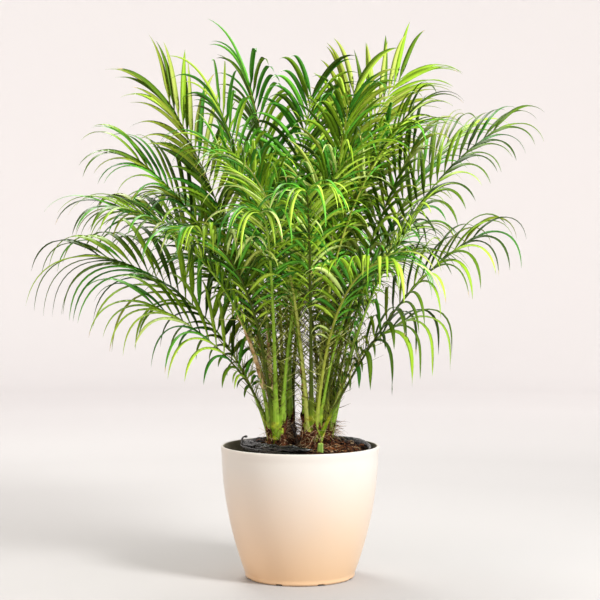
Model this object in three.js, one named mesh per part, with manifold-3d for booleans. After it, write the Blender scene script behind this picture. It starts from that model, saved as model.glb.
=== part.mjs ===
// A pygmy date palm in its pot: a clump of four short stems that carry arching feather fronds,
// rooted in a black nursery liner that stands in a smooth cream pot.
// Millimetres, +Z up, +Y away from the front. The origin is the centre of the pot's flat underside.
import * as THREE from 'three';
import { mergeVertices } from 'three/addons/utils/BufferGeometryUtils.js';
import Module from 'manifold-3d';

const wasm = await Module();
wasm.setup();

const clear = 0.3; // between solids that meet
const degree = Math.PI / 180;
const down = new THREE.Vector3(0, 0, -1);

const pot = {
  height: 250,
  rim: 150, // outer radius at the top
  foot: 102, // outer radius at the bottom
  wall: 5,
  floor: 8,
  edge: 6, // rounding of the foot
  lip: 2.5, // rounding of the rim
  band: 12, // height of the plain band under the rim
  crease: 0.8, // how far the band stands proud
  notches: 8,
  notchWidth: 13,
  notchHeight: 2,
  notchDepth: 14,
  rings: 6, // levels of the curved wall
  sides: 40,
};
const liner = {
  shift: 12, // its centre lies this far to the right of the pot's
  foot: 84,
  rim: 122,
  top: 256,
  wall: 1.5,
  floor: 2,
  roll: 2.5, // the rolled edge stands out this far
  rollHeight: 8,
  sides: 40,
};
const soil = {
  top: 250, // level of the plateau that the stems stand on
  plateau: 108,
  edge: 245, // level along the liner
};
const stem = {
  height: 96,
  // radius at each height above the soil, from the root flare towards the tip
  outline: [[17, 0], [15, 8], [13.5, 40], [10.5, 70], [6, 88]],
  sides: 10,
};
const stems = {
  leftFront: { x: -42, y: -16, leanX: -0.05, leanY: -0.05 },
  leftRear: { x: -24, y: 24, leanX: 0, leanY: 0.06 },
  rightFront: { x: 22, y: -22, leanX: 0, leanY: -0.05 },
  rightRear: { x: 44, y: 18, leanX: 0.06, leanY: 0.04 },
};
const rib = {
  seat: 12, // distance of a petiole's foot from its stem's axis
  stub: 60, // length of petiole that belongs to the stem
  foot: 4.8, // radius at the foot, where the leaflets start, and at the tip
  neck: 3,
  tip: 1,
  flare: 3.5, // how much wider the clasping foot is
  flat: 0.8, // depth over width
  thinning: 0.7, // below 1, the foot thins quickly
  steps: 160, // of the path
  segments: 10, // of the solid
  sides: 4,
  room: 2.2, // between one rib and the next
  bare: 0.34, // share of its length over which the stalk thins quickly
};
const leaf = {
  spacing: 41,
  width: 14,
  thin: 90, // length over thickness
  bend: 0.45, // where along it the leaflet is widest, and bends
  steps: 6,
  room: 0.8, // between a leaflet and any other frond
  angle: 58, // between leaflet and rib at the first pair
  closing: 36, // how far that angle closes towards the last pair
  raise: 25, // how far the leaflets stand up out of the frond's plane
  shortest: 0.28, // length of the first leaflet over that of the longest
  lengthening: 1.9,
  shortening: 0.15, // towards the tip
  stagger: 0.012, // of a pair's right leaflet over its left one
  angleSpread: 8,
  raiseSpread: 14,
  droopSpread: 0.3,
  lengthSpread: 0.14,
};
// Balls strung along ribs, stems and leaflets stand for them where solids have to stay clear.
const ball = {
  step: 4,
  least: 1.8, // radius
};
const colours = {
  pot: 0xefe9df,
  liner: 0x161616,
  soil: 0x3b2418,
  stem: 0x5a3a22,
  frond: 0x4f8a1c,
  dry: 0x1f1712,
};

// A frond: name, stem, height of its foot, heading (0 is right, 90 is away), rise at the foot and at the
// tip, length, and what differs from the usual leaflet length, roll, bend of the rib, droop, and share of
// the rib that bears no leaflets.
// The fronds that the front view shows best come first, because later ones make room for earlier ones.
function frond(name, stemName, up, heading, rise, tip, length, differs = {}) {
  const usual = { leaf: 160, roll: 0, bend: 1.6, droop: 1.5, start: 0.4 };
  return { name, stem: stemName, up, heading, rise, tip, length, ...usual, ...differs };
}
const crown = [
  frond('leftLow', 'leftFront', 6, 189, 86, 24, 355,
    { leaf: 190, roll: 35, bend: 0.7, droop: 1.8, start: 0.36 }),
  frond('leftSpread', 'leftFront', 14, 169, 71, 10, 510,
    { leaf: 225, roll: 38, bend: 1.37, droop: 2, start: 0.36 }),
  frond('leftArch', 'leftRear', 14, 188, 73, 35, 590, { leaf: 185, roll: 35, bend: 2.7 }),
  frond('leftTall', 'leftRear', 36, 177, 75.5, 58, 650, { leaf: 175, roll: 45, bend: 2.67, droop: 0.9 }),
  frond('leftUpright', 'leftRear', 46, 238, 87, 62, 640, { leaf: 165, roll: 20, bend: 2.2, droop: 1.5 }),
  frond('rightLow', 'rightFront', 5, 356, 70, 22, 290,
    { leaf: 195, roll: -20, bend: 2.1, droop: 4.5, start: 0.52 }),
  frond('rightSpread', 'rightFront', 16, 342, 61, 29, 486,
    { leaf: 170, roll: -35, bend: 2.34, droop: 2.2 }),
  frond('rightMid', 'rightFront', 34, 358, 76, 61, 563, { leaf: 145, roll: -35, bend: 2.1, start: 0.45 }),
  frond('rightUpright', 'rightFront', 52, 42, 84, 73, 629,
    { leaf: 150, roll: -30, bend: 2.55, droop: 1.2 }),
  frond('rightLong', 'rightRear', 14, 357, 76, 32, 674, { leaf: 145, roll: -40, bend: 2.06, start: 0.46 }),
  frond('rightInner', 'rightRear', 28, 333, 75, 52, 440, { leaf: 140, roll: -20 }),
  frond('rightTall', 'rightRear', 42, 37, 87, 42, 702, { leaf: 175, roll: -45, bend: 2.74, droop: 0.9 }),
  frond('leftFore', 'leftFront', 32, 208, 79, 12, 540, { leaf: 170, roll: 20 }),
  frond('leftBack', 'leftRear', 24, 154, 75, 14, 570, { leaf: 170, roll: 30 }),
  frond('frontLeftLow', 'leftFront', 20, 238, 80, 5, 500, { bend: 2, droop: 1.8, start: 0.42 }),
  frond('frontMid', 'leftFront', 26, 302, 81, 26, 600, { bend: 2.2, start: 0.42 }),
  frond('frontLeft', 'leftFront', 36, 266, 77, -8, 560, { bend: 2.2, droop: 1.8, start: 0.44 }),
  frond('frontHigh', 'leftFront', 44, 332, 86, 20, 620, { bend: 2.2, start: 0.44 }),
  frond('innerFront', 'leftFront', 52, 12, 86, 42, 560, { start: 0.42 }),
  frond('leftSpire', 'leftFront', 50, 218, 88.5, 62, 600),
  frond('leftBackLow', 'leftRear', 6, 130, 76, 5, 470, { bend: 1.8 }),
  frond('backLow', 'leftRear', 18, 110, 78, 0, 480, { bend: 1.8 }),
  frond('backLeft', 'leftRear', 34, 139, 82.5, 15, 560),
  frond('back', 'leftRear', 40, 92, 83.5, 20, 580),
  frond('centreBack', 'leftRear', 52, 58, 84, 45, 600),
  frond('centreUp', 'leftRear', 58, 285, 87, 50, 620, { bend: 2, start: 0.42 }),
  frond('frontRightLow', 'rightFront', 12, 300, 80, -5, 470, { bend: 2, droop: 1.8, start: 0.44 }),
  frond('frontRight', 'rightFront', 24, 327, 78, 5, 411, { bend: 2.9 }),
  frond('frontRightMid', 'rightFront', 30, 244, 79, 24, 580, { bend: 2.2, start: 0.42 }),
  frond('frontTall', 'rightFront', 38, 268, 76, 0, 570, { bend: 2.4, droop: 1.8, start: 0.44 }),
  frond('innerLeft', 'rightFront', 46, 218, 84, 35, 560, { bend: 2, start: 0.42 }),
  frond('rightSpire', 'rightFront', 58, 330, 87.5, 45, 600),
  frond('backRightLow', 'rightRear', 8, 72, 76, 0, 470, { bend: 1.8 }),
  frond('backRight', 'rightRear', 22, 52, 79, 12, 520),
  frond('backMid', 'rightRear', 34, 89, 81.5, 12, 520),
  frond('backUp', 'rightRear', 48, 120, 82, 35, 600),
  frond('rightBack', 'rightRear', 50, 18, 78, 45, 590, { roll: -20 }),
  frond('centreFront', 'rightRear', 54, 280, 84.5, 40, 620, { bend: 2, start: 0.42 }),
];

// Short dead and cut leaf stalks: foot, head, and the radius at each.
const driedStalk = { foot: [-1, -25], head: [-18, -27], height: 44, low: 4.5, high: 1.6 };
const cutStalk = { foot: [37, -94], head: [38, -96], height: 14, low: 5.5, high: 4.5 };
// The dead sheath that clings to the inner side of the front right stem.
const deadSheath = { stem: 'rightFront', up: 26, heading: 178, rise: 87, length: 62, low: 6.5, high: 4 };

// Solids

function solid(geometry) {
  const bare = geometry.clone();
  bare.deleteAttribute('normal');
  bare.deleteAttribute('uv');
  const merged = mergeVertices(bare, 1e-4);
  const corners = merged.index.array;
  const triVerts = [];
  for (let i = 0; i < corners.length; i += 3) {
    const [a, b, c] = [corners[i], corners[i + 1], corners[i + 2]];
    if (a !== b && b !== c && c !== a) triVerts.push(a, b, c);
  }
  return new wasm.Manifold(new wasm.Mesh({
    numProp: 3,
    vertProperties: Float32Array.from(merged.attributes.position.array),
    triVerts: Uint32Array.from(triVerts),
  }));
}

// The triangles of the largest shell: this fills a hollow that joining has sealed and drops loose scraps.
function largestShell(places, corners) {
  const leader = Array.from({ length: places.length / 3 }, (_, i) => i);
  const find = (i) => {
    while (leader[i] !== i) i = leader[i] = leader[leader[i]];
    return i;
  };
  for (let i = 0; i < corners.length; i += 3) {
    leader[find(corners[i + 1])] = find(corners[i]);
    leader[find(corners[i + 2])] = find(corners[i]);
  }
  const volumes = new Map();
  const corner = (i) => new THREE.Vector3().fromArray(places, 3 * corners[i]);
  for (let i = 0; i < corners.length; i += 3) {
    const shell = find(corners[i]);
    const slice = corner(i).dot(corner(i + 1).cross(corner(i + 2)));
    volumes.set(shell, (volumes.get(shell) ?? 0) + slice);
  }
  const [largest] = [...volumes].sort((a, b) => b[1] - a[1])[0];
  return corners.filter((_, i) => find(corners[i - i % 3]) === largest);
}

function geometryOf(body) {
  const { vertProperties, triVerts } = body.getMesh();
  const geometry = new THREE.BufferGeometry();
  geometry.setAttribute('position', new THREE.BufferAttribute(Float32Array.from(vertProperties), 3));
  geometry.setIndex([...largestShell(vertProperties, triVerts)]);
  geometry.computeVertexNormals();
  return geometry;
}

function part(name, body, colour, roughness) {
  const material = new THREE.MeshStandardMaterial({ color: colour, roughness, metalness: 0 });
  const mesh = new THREE.Mesh(geometryOf(body), material);
  mesh.name = name;
  return mesh;
}

// A turned solid about Z from its outline, given as [radius, height] from the axis round to the axis.
function turned(outline, sides) {
  const points = outline.map(([radius, height]) => new THREE.Vector2(radius, height));
  return new THREE.LatheGeometry(points, sides).rotateX(Math.PI / 2);
}

// A limb through a row of sections, each with its middle, half width and half depth. A section with no
// width or depth makes a point.
function limb(sections, sides) {
  const last = sections.length - 1;
  const tube = new THREE.CylinderGeometry(1, 1, 1, sides, last);
  const corners = tube.attributes.position;
  for (let i = 0; i < corners.count; i += 1) {
    const { at, wide, deep } = sections[Math.round((corners.getY(i) + 0.5) * last)];
    const point = at.clone().addScaledVector(wide, corners.getX(i)).addScaledVector(deep, corners.getZ(i));
    corners.setXYZ(i, point.x, point.y, point.z);
  }
  return tube;
}

// Pot, liner and soil

function arc(radius, height, size, from, to, count) {
  return Array.from({ length: count + 1 }, (_, i) => {
    const angle = (from + (to - from) * i / count) * degree;
    return [radius + size * Math.cos(angle), height + size * Math.sin(angle)];
  });
}

// The wall swells out quickly above the foot and is almost upright at the rim.
function potRadius(height) {
  const below = 1 - height / pot.height;
  return pot.foot + (pot.rim - pot.foot) * (1 - below * below);
}

function potBody() {
  const bandFoot = pot.height - pot.band;
  const outside = [];
  const inside = [];
  for (let i = 0; i <= pot.rings; i += 1) {
    const height = pot.edge + (bandFoot - pot.edge) * i / pot.rings;
    outside.push([potRadius(height) - pot.crease, height]);
    const level = pot.floor + (pot.height - pot.lip - pot.floor) * i / pot.rings;
    inside.unshift([potRadius(level) - pot.wall, level]);
  }
  const footMiddle = potRadius(pot.edge) - pot.crease - pot.edge;
  const outline = [
    [0, 0],
    ...arc(footMiddle, pot.edge, pot.edge, -90, 0, 3).slice(0, -1),
    ...outside,
    [potRadius(bandFoot), bandFoot + pot.crease],
    ...arc(pot.rim - pot.lip, pot.height - pot.lip, pot.lip, 0, 180, 4),
    ...inside.slice(1),
    [0, pot.floor],
  ];
  let body = solid(turned(outline, pot.sides));
  for (let i = 0; i < pot.notches; i += 1) {
    const cutter = new THREE.BoxGeometry(pot.notchDepth, pot.notchWidth, 2 * pot.notchHeight);
    cutter.translate(pot.foot, 0, 0).rotateZ((i + 0.5) * 2 * Math.PI / pot.notches);
    body = body.subtract(solid(cutter));
  }
  return body;
}

function linerRadius(height) {
  const base = pot.floor + clear;
  return liner.foot + (liner.rim - liner.foot) * (height - base) / (liner.top - base);
}

function linerBody() {
  const base = pot.floor + clear;
  const rollFoot = liner.top - liner.rollHeight;
  const outline = [
    [0, base],
    [liner.foot, base],
    [linerRadius(rollFoot), rollFoot],
    [liner.rim + liner.roll, rollFoot + liner.roll],
    [liner.rim + liner.roll, liner.top - liner.roll],
    [liner.rim, liner.top],
    [linerRadius(rollFoot) - liner.wall, rollFoot],
    [linerRadius(base + liner.floor) - liner.wall, base + liner.floor],
    [0, base + liner.floor],
  ];
  return solid(turned(outline, liner.sides));
}

function soilBody() {
  const base = pot.floor + liner.floor + 2 * clear;
  const inner = (height) => linerRadius(height) - liner.wall - clear;
  const outline = [
    [0, base],
    [inner(base), base],
    [inner(soil.edge), soil.edge],
    [soil.plateau, soil.top],
    [0, soil.top],
  ];
  return solid(turned(outline, liner.sides));
}

// Ribs: each starts at its stem and follows an elevation that falls from foot to tip.

function direction(row, share) {
  const rise = (row.rise + (row.tip - row.rise) * share ** row.bend) * degree;
  const heading = row.heading * degree;
  const flat = Math.cos(rise);
  return new THREE.Vector3(flat * Math.cos(heading), flat * Math.sin(heading), Math.sin(rise));
}

function ribRadius(share) {
  if (share < rib.bare) return rib.foot + (rib.neck - rib.foot) * (share / rib.bare) ** rib.thinning;
  return rib.neck + (rib.tip - rib.neck) * (share - rib.bare) / (1 - rib.bare);
}

function ribPath(row) {
  const { x, y, leanX, leanY } = stems[row.stem];
  const heading = row.heading * degree;
  const point = new THREE.Vector3(
    x + leanX * row.up + rib.seat * Math.cos(heading),
    y + leanY * row.up + rib.seat * Math.sin(heading),
    soil.top + row.up,
  );
  const path = [point.clone()];
  for (let i = 0; i < rib.steps; i += 1) {
    point.addScaledVector(direction(row, (i + 0.5) / rib.steps), row.length / rib.steps);
    path.push(point.clone());
  }
  return path;
}

function pointAt(path, share) {
  const place = Math.min(share * rib.steps, rib.steps - 1e-6);
  const before = Math.floor(place);
  return path[before].clone().lerp(path[before + 1], place - before);
}

// The frond's own axes at a place on its rib: along it, across it, and out of its upper face.
function axesAt(row, share) {
  const along = direction(row, share);
  const heading = row.heading * degree;
  const side = new THREE.Vector3(Math.sin(heading), -Math.cos(heading), 0);
  const face = side.clone().cross(along);
  return { along, side, face };
}

function ribSection(row, path, share, radius) {
  const { side, face } = axesAt(row, share);
  return {
    at: pointAt(path, share),
    wide: side.multiplyScalar(radius),
    deep: face.multiplyScalar(radius * rib.flat),
  };
}

// Balls along a rib, for keeping it clear of the others. Those on the stub belong to the stem.
function ribBalls(row) {
  return ribPath(row).map((at, i) => {
    const share = i / rib.steps;
    return { at, radius: ribRadius(share), stem: row.stem, free: share * row.length > rib.stub };
  });
}

function stemBalls(name) {
  const { x, y, leanX, leanY } = stems[name];
  const balls = [];
  stem.outline.slice(1).forEach(([radius, top], i) => {
    const [below, bottom] = stem.outline[i];
    for (let height = bottom; height < top; height += ball.step) {
      const at = new THREE.Vector3(x + leanX * height, y + leanY * height, soil.top + height);
      const thick = below + (radius - below) * (height - bottom) / (top - bottom);
      balls.push({ at, radius: thick, stem: name, free: false });
    }
  });
  return balls;
}

function meet(some, others, room) {
  return some.some((a) => others.some((b) => {
    if (a.stem === b.stem && !a.free && !b.free) return false;
    return a.at.distanceTo(b.at) < a.radius + b.radius + room;
  }));
}

// A frond that would run into an earlier one is turned a little about its stem, or raised.
function settled(rows) {
  const placed = Object.keys(stems).map(stemBalls);
  const turns = [0, 4, -4, 8, -8, 12, -12, 16, -16];
  const lifts = [0, 1.5, -1.5, 3];
  const tries = lifts.flatMap((lift) => turns.map((turn) => ({ lift, turn })));
  const kept = [];
  rows.forEach((row) => {
    for (const { lift, turn } of tries) {
      const moved = { ...row, heading: row.heading + turn, rise: row.rise + lift };
      const balls = ribBalls(moved);
      if (!placed.some((others) => meet(balls, others, rib.room))) {
        placed.push(balls);
        kept.push(moved);
        return;
      }
    }
  });
  return kept;
}

// Leaflets

// A repeatable number from 0 to 1 for leaflet number `leaflet` of frond number `owner`.
function dice(owner, leaflet, throwNumber) {
  let seed = (owner * 7919 + leaflet * 104729 + throwNumber * 1299709 + 12345) % 2147483647;
  for (let i = 0; i < 3; i += 1) seed = (seed * 16807) % 2147483647;
  return seed / 2147483647;
}

function leafletCount(row) {
  return Math.round(row.length * (1 - row.start) / leaf.spacing);
}

function ribStations(row) {
  const start = (rib.stub + clear / 2) / row.length;
  return Array.from({ length: rib.segments + 1 }, (_, i) => start + (1 - start) * i / rib.segments);
}

// The middle of the solid rib, whose segments are straight.
function ribMiddle(row, path, share) {
  const shares = ribStations(row);
  const place = rib.segments * (share - shares[0]) / (1 - shares[0]);
  const before = Math.min(Math.floor(place), rib.segments - 1);
  return pointAt(path, shares[before]).lerp(pointAt(path, shares[before + 1]), place - before);
}

// The leaflet's middle line, from its root in the rib, arching over towards its tip.
function leafletLine(row, path, owner, number, side, swing, shorter) {
  const count = leafletCount(row);
  const share = Math.min(1, (number + 0.3) / (count - 0.4) + (side > 0 ? leaf.stagger : 0));
  const onRib = row.start + (1 - row.start) * share;
  const { along, side: across, face } = axesAt(row, onRib);
  const roll = row.roll * degree;
  const flat = across.clone().multiplyScalar(Math.cos(roll)).addScaledVector(face, Math.sin(roll));
  const out = face.clone().multiplyScalar(Math.cos(roll)).addScaledVector(across, -Math.sin(roll));
  const throwOf = (index) => dice(owner, 2 * number + (side > 0 ? 1 : 0), index) - 0.5;
  const angle = (leaf.angle - leaf.closing * share + swing + leaf.angleSpread * throwOf(0)) * degree;
  const raise = (leaf.raise + leaf.raiseSpread * throwOf(1)) * degree;
  const droop = row.droop * (1 + leaf.droopSpread * throwOf(2));
  const taper = Math.min(1, leaf.shortest + leaf.lengthening * share) * (1 - leaf.shortening * share * share);
  const length = row.leaf * taper * (1 + leaf.lengthSpread * throwOf(3)) * shorter;
  const heading = along.clone().multiplyScalar(Math.cos(angle));
  heading.addScaledVector(flat, Math.sin(angle) * side * Math.cos(raise));
  heading.addScaledVector(out, Math.sin(angle) * Math.sin(raise));
  const point = pointAt(path, onRib);
  const line = [point.clone()];
  for (let i = 0; i < leaf.steps; i += 1) {
    const pull = droop * 2 * (i + 0.5) / leaf.steps / leaf.steps;
    const sink = down.clone().addScaledVector(heading, -down.dot(heading));
    heading.addScaledVector(sink, pull).normalize();
    point.addScaledVector(heading, length / leaf.steps);
    line.push(point.clone());
  }
  const bendAt = leaf.bend * leaf.steps;
  const bend = line[Math.floor(bendAt)].clone().lerp(line[Math.ceil(bendAt)], bendAt % 1);
  return { root: ribMiddle(row, path, onRib), bend, tip: line[leaf.steps], face: out, length };
}

function chordBalls(from, to, lowRadius, highRadius, owner) {
  const length = from.distanceTo(to);
  const count = Math.max(1, Math.ceil(length / ball.step));
  return Array.from({ length: count + 1 }, (_, i) => ({
    at: from.clone().lerp(to, i / count),
    radius: Math.max(ball.least, lowRadius + (highRadius - lowRadius) * i / count),
    owner,
  }));
}

// A grid of cells that finds the balls near a point.
function makeGrid(cell) {
  const cells = new Map();
  const key = (x, y, z) => `${x},${y},${z}`;
  const spot = (at) => [at.x, at.y, at.z].map((value) => Math.floor(value / cell));
  return {
    add(one) {
      const name = key(...spot(one.at));
      if (!cells.has(name)) cells.set(name, []);
      cells.get(name).push(one);
    },
    meets(one, room) {
      const [x, y, z] = spot(one.at);
      for (let i = -1; i <= 1; i += 1) {
        for (let j = -1; j <= 1; j += 1) {
          for (let k = -1; k <= 1; k += 1) {
            const near = cells.get(key(x + i, y + j, z + k)) ?? [];
            const hit = near.some((other) => other.owner !== one.owner
              && other.at.distanceTo(one.at) < other.radius + one.radius + room);
            if (hit) return true;
          }
        }
      }
      return false;
    },
  };
}

// The blade is a slim wedge with its keel below: a point in the rib, widest at the bend, pointed.
function leafletBody(line) {
  const { root, bend, tip, face, length } = line;
  const along = tip.clone().sub(root).normalize();
  const wide = face.clone().cross(along).normalize();
  const deep = wide.clone().cross(along).normalize();
  // A triangle in a circle of radius 1 is root 3 wide and 1.5 deep.
  wide.multiplyScalar(leaf.width / Math.sqrt(3));
  deep.multiplyScalar(length / leaf.thin / 1.5);
  const none = new THREE.Vector3();
  const sections = [
    { at: root, wide: none, deep: none },
    { at: bend, wide, deep },
    { at: tip, wide: none, deep: none },
  ];
  return solid(limb(sections, 3));
}

function ribBody(row, path) {
  const sections = ribStations(row).map((share) => ribSection(row, path, share, ribRadius(share)));
  return solid(limb(sections, rib.sides));
}

// Every frond's leaflets, dealt out from the tips inwards. One that would touch another frond is swung
// or shortened, and left out where that doesn't help.
function dealLeaflets(rows, paths) {
  const grid = makeGrid(leaf.width + leaf.room + 1);
  rows.forEach((row, owner) => {
    const shares = ribStations(row);
    for (let i = 0; i < rib.segments; i += 1) {
      const [from, to] = [shares[i], shares[i + 1]];
      const ends = [pointAt(paths[owner], from), pointAt(paths[owner], to)];
      chordBalls(...ends, ribRadius(from), ribRadius(to), owner).forEach(grid.add);
    }
    ribBalls(row).filter((one) => !one.free).forEach((one) => grid.add({ ...one, owner: -1 }));
  });
  const swings = [0, 8, -8, 16, -16];
  const tries = [1, 0.8, 0.6, 0.4].flatMap((shorter) => swings.map((swing) => ({ shorter, swing })));
  const dealt = rows.map(() => []);
  const most = Math.max(...rows.map(leafletCount));
  for (let fromTip = 0; fromTip < most; fromTip += 1) {
    rows.forEach((row, owner) => {
      const number = leafletCount(row) - 1 - fromTip;
      if (number < 0) return;
      [-1, 1].forEach((side) => {
        for (const { shorter, swing } of tries) {
          const line = leafletLine(row, paths[owner], owner, number, side, swing, shorter);
          const balls = [
            ...chordBalls(line.root, line.bend, 0, leaf.width / 2, owner),
            ...chordBalls(line.bend, line.tip, leaf.width / 2, 0, owner),
          ];
          if (balls.every((one) => !grid.meets(one, leaf.room))) {
            balls.forEach(grid.add);
            dealt[owner].push(line);
            return;
          }
        }
      });
    });
  }
  return dealt;
}

// Stems, with the feet of their petioles grown on

// A piece of leaf stalk that widens into its clasping foot.
function footBody(row, path, length, radiusAt) {
  const sections = [0, 0.5, 1].map((along) => {
    const share = along * length / row.length;
    return ribSection(row, path, share, radiusAt(along, share));
  });
  return solid(limb(sections, rib.sides));
}

function stemBody(name, rows, paths) {
  const { x, y, leanX, leanY } = stems[name];
  const foot = soil.top + clear;
  const outline = [[0, 0], ...stem.outline, [0, stem.height]];
  const shape = turned(outline, stem.sides);
  const lean = new THREE.Matrix4().set(1, 0, leanX, x, 0, 1, leanY, y, 0, 0, 1, foot, 0, 0, 0, 1);
  let body = solid(shape.applyMatrix4(lean));
  rows.forEach((row, owner) => {
    if (row.stem !== name) return;
    const radiusAt = (along, share) => ribRadius(share) + rib.flare * (1 - along) ** 2;
    body = body.add(footBody(row, paths[owner], rib.stub - clear / 2, radiusAt));
  });
  if (deadSheath.stem === name) {
    const row = { ...deadSheath, tip: deadSheath.rise, bend: 1 };
    const radiusAt = (along) => row.low + (row.high - row.low) * along;
    body = body.add(footBody(row, ribPath(row), row.length, radiusAt));
  }
  return body;
}

function stalkBody({ foot, head, height, low, high }) {
  const section = ([x, y], z, radius) => ({
    at: new THREE.Vector3(x, y, z),
    wide: new THREE.Vector3(radius, 0, 0),
    deep: new THREE.Vector3(0, -radius, 0),
  });
  const base = soil.top + clear;
  return solid(limb([section(foot, base, low), section(head, base + height, high)], 6));
}

const palm = new THREE.Group();
palm.add(part('pot', potBody(), colours.pot, 0.3));

const filling = new THREE.Group();
filling.position.set(liner.shift, 0, 0);
filling.add(part('liner', linerBody(), colours.liner, 0.5));
filling.add(part('soil', soilBody(), colours.soil, 1));
palm.add(filling);

palm.add(part('driedStalk', stalkBody(driedStalk), colours.dry, 0.9));
palm.add(part('cutStalk', stalkBody(cutStalk), colours.frond, 0.6));

const rows = settled(crown);
const paths = rows.map(ribPath);
const leaflets = dealLeaflets(rows, paths);
Object.keys(stems).forEach((name) => {
  palm.add(part(`${name}Stem`, stemBody(name, rows, paths), colours.stem, 0.9));
});
rows.forEach((row, owner) => {
  const blades = leaflets[owner].map(leafletBody);
  const body = blades.reduce((whole, blade) => whole.add(blade), ribBody(row, paths[owner]));
  palm.add(part(`${row.name}Frond`, body, colours.frond, 0.5));
});

export default palm;
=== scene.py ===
# A pygmy date palm in its cream pot: the looks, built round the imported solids.
# Shapes are worked out in millimetres with +Z up, and go into Blender in metres.
import math
from itertools import product

import bpy
import numpy as np
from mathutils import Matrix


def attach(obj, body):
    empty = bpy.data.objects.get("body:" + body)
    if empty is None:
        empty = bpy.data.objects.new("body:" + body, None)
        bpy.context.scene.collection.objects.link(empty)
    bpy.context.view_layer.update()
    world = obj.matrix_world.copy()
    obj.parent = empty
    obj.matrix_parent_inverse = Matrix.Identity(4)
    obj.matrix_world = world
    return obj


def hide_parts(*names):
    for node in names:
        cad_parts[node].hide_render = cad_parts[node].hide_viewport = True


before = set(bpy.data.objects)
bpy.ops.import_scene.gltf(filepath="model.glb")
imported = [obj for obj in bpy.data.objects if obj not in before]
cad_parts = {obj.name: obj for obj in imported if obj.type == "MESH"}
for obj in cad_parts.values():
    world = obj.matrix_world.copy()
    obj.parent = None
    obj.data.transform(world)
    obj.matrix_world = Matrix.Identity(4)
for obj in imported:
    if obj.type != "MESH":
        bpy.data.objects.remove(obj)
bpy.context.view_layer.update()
degree = math.pi / 180
fullTurn = 2 * math.pi
metres = 0.001  # in a millimetre
up = np.array([0.0, 0.0, 1.0])


def unit(vector):
    return vector / np.linalg.norm(vector, axis=-1, keepdims=True)


def mix(a, b, share):
    return a + (b - a) * share


def smooth(low, high, value):
    t = np.clip((value - low) / (high - low), 0, 1)
    return t * t * (3 - 2 * t)


def turnsOf(count):
    return np.arange(count) * fullTurn / count


def circle(sides, flat=1.0):
    return np.stack([np.cos(turnsOf(sides)), np.sin(turnsOf(sides)) * flat], 1)


# Points round an upright axis
def roundAxis(radius, turn, height, centreX=0):
    return np.stack(np.broadcast_arrays(centreX + radius * np.cos(turn), radius * np.sin(turn), height), -1)


# Smooth noise from waves that run in all directions, about -1 to 1
def ripple(points, size, seed, octaves=3, waves=9):
    random = np.random.default_rng(seed)
    total = np.zeros(points.shape[:-1])
    for octave in range(octaves):
        directions = unit(random.normal(size=(waves, 3))) * fullTurn / size * 2 ** octave
        phases = random.uniform(0, fullTurn, waves)
        total += np.sin(points @ directions.T + phases).sum(-1) / math.sqrt(waves) / 2 ** octave
    return total / 1.4


# Meshes: a bundle gathers many small bodies that become one piece

def newBundle():
    return {"points": [], "maps": [], "faces": [], "tints": [], "count": 0}


# The tint is one number, or a list with one entry for each group of faces
def addTo(bundle, body, tint=0):
    points, groups, maps = body
    for number, faces in enumerate(groups):
        own = tint[number] if isinstance(tint, list) else tint
        bundle["faces"].append(faces + bundle["count"])
        bundle["tints"].append(np.broadcast_to(own, len(faces)))
    bundle["points"].append(points)
    bundle["maps"].append(maps)
    bundle["count"] += len(points)


def addItem(name, data, location=(0, 0, 0), rotation=(0, 0, 0)):
    item = bpy.data.objects.new(name, data)
    item.location = location
    item.rotation_euler = rotation
    bpy.context.scene.collection.objects.link(item)
    return item


def makePiece(bundle, name, materials, slot, *replaced, shadeSmooth=True):
    points = np.concatenate(bundle["points"]) * metres
    maps = np.concatenate(bundle["maps"])
    corners = np.concatenate([faces.ravel() for faces in bundle["faces"]]).astype(np.int32)
    sizes = np.concatenate([np.full(len(faces), faces.shape[1]) for faces in bundle["faces"]])
    mesh = bpy.data.meshes.new(name)
    mesh.vertices.add(len(points))
    mesh.vertices.foreach_set("co", points.ravel())
    mesh.loops.add(len(corners))
    mesh.loops.foreach_set("vertex_index", corners)
    mesh.polygons.add(len(sizes))
    mesh.polygons.foreach_set("loop_start", (np.cumsum(sizes) - sizes).astype(np.int32))
    for material in materials:
        mesh.materials.append(material)
    mesh.polygons.foreach_set("material_index", np.concatenate(bundle["tints"]).astype(np.int32))
    layer = mesh.uv_layers.new(name="along")
    layer.data.foreach_set("uv", maps[corners].ravel())
    mesh.update(calc_edges=True)
    mesh.validate()
    mesh.polygons.foreach_set("use_smooth", [shadeSmooth] * len(mesh.polygons))
    piece = addItem(name, mesh)
    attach(piece, "root")
    if replaced:
        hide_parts(*replaced)
    print(f"{name}: {int((sizes - 2).sum())} triangles")


# Faces between rings of points
def ringQuads(count, around, closed=False):
    i = np.arange(count if closed else count - 1)[:, None]
    j = np.arange(around)[None]
    nextI, nextJ = (i + 1) % count, (j + 1) % around
    corners = (i * around + j, nextI * around + j, nextI * around + nextJ, i * around + nextJ)
    return np.stack(np.broadcast_arrays(*corners), -1).reshape(-1, 4)


# A closed body through rings of points, each ring the same number of points round
def loft(rings, maps=None):
    count, around = rings.shape[:2]
    points = np.concatenate([rings.reshape(-1, 3), [rings[0].mean(0), rings[-1].mean(0)]])
    j = np.arange(around)
    nextJ = (j + 1) % around
    low, high, top = count * around, count * around + 1, (count - 1) * around
    caps = np.concatenate([
        np.stack([np.full(around, low), j, nextJ], 1),
        np.stack([np.full(around, high), top + nextJ, top + j], 1),
    ])
    if maps is None:
        maps = np.stack(np.meshgrid(np.linspace(0, 1, around), np.linspace(0, 1, count)), -1)
    ends = [maps[0].mean(0), maps[-1].mean(0)]
    return points, [ringQuads(count, around), caps], np.concatenate([maps.reshape(-1, 2), ends])


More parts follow.
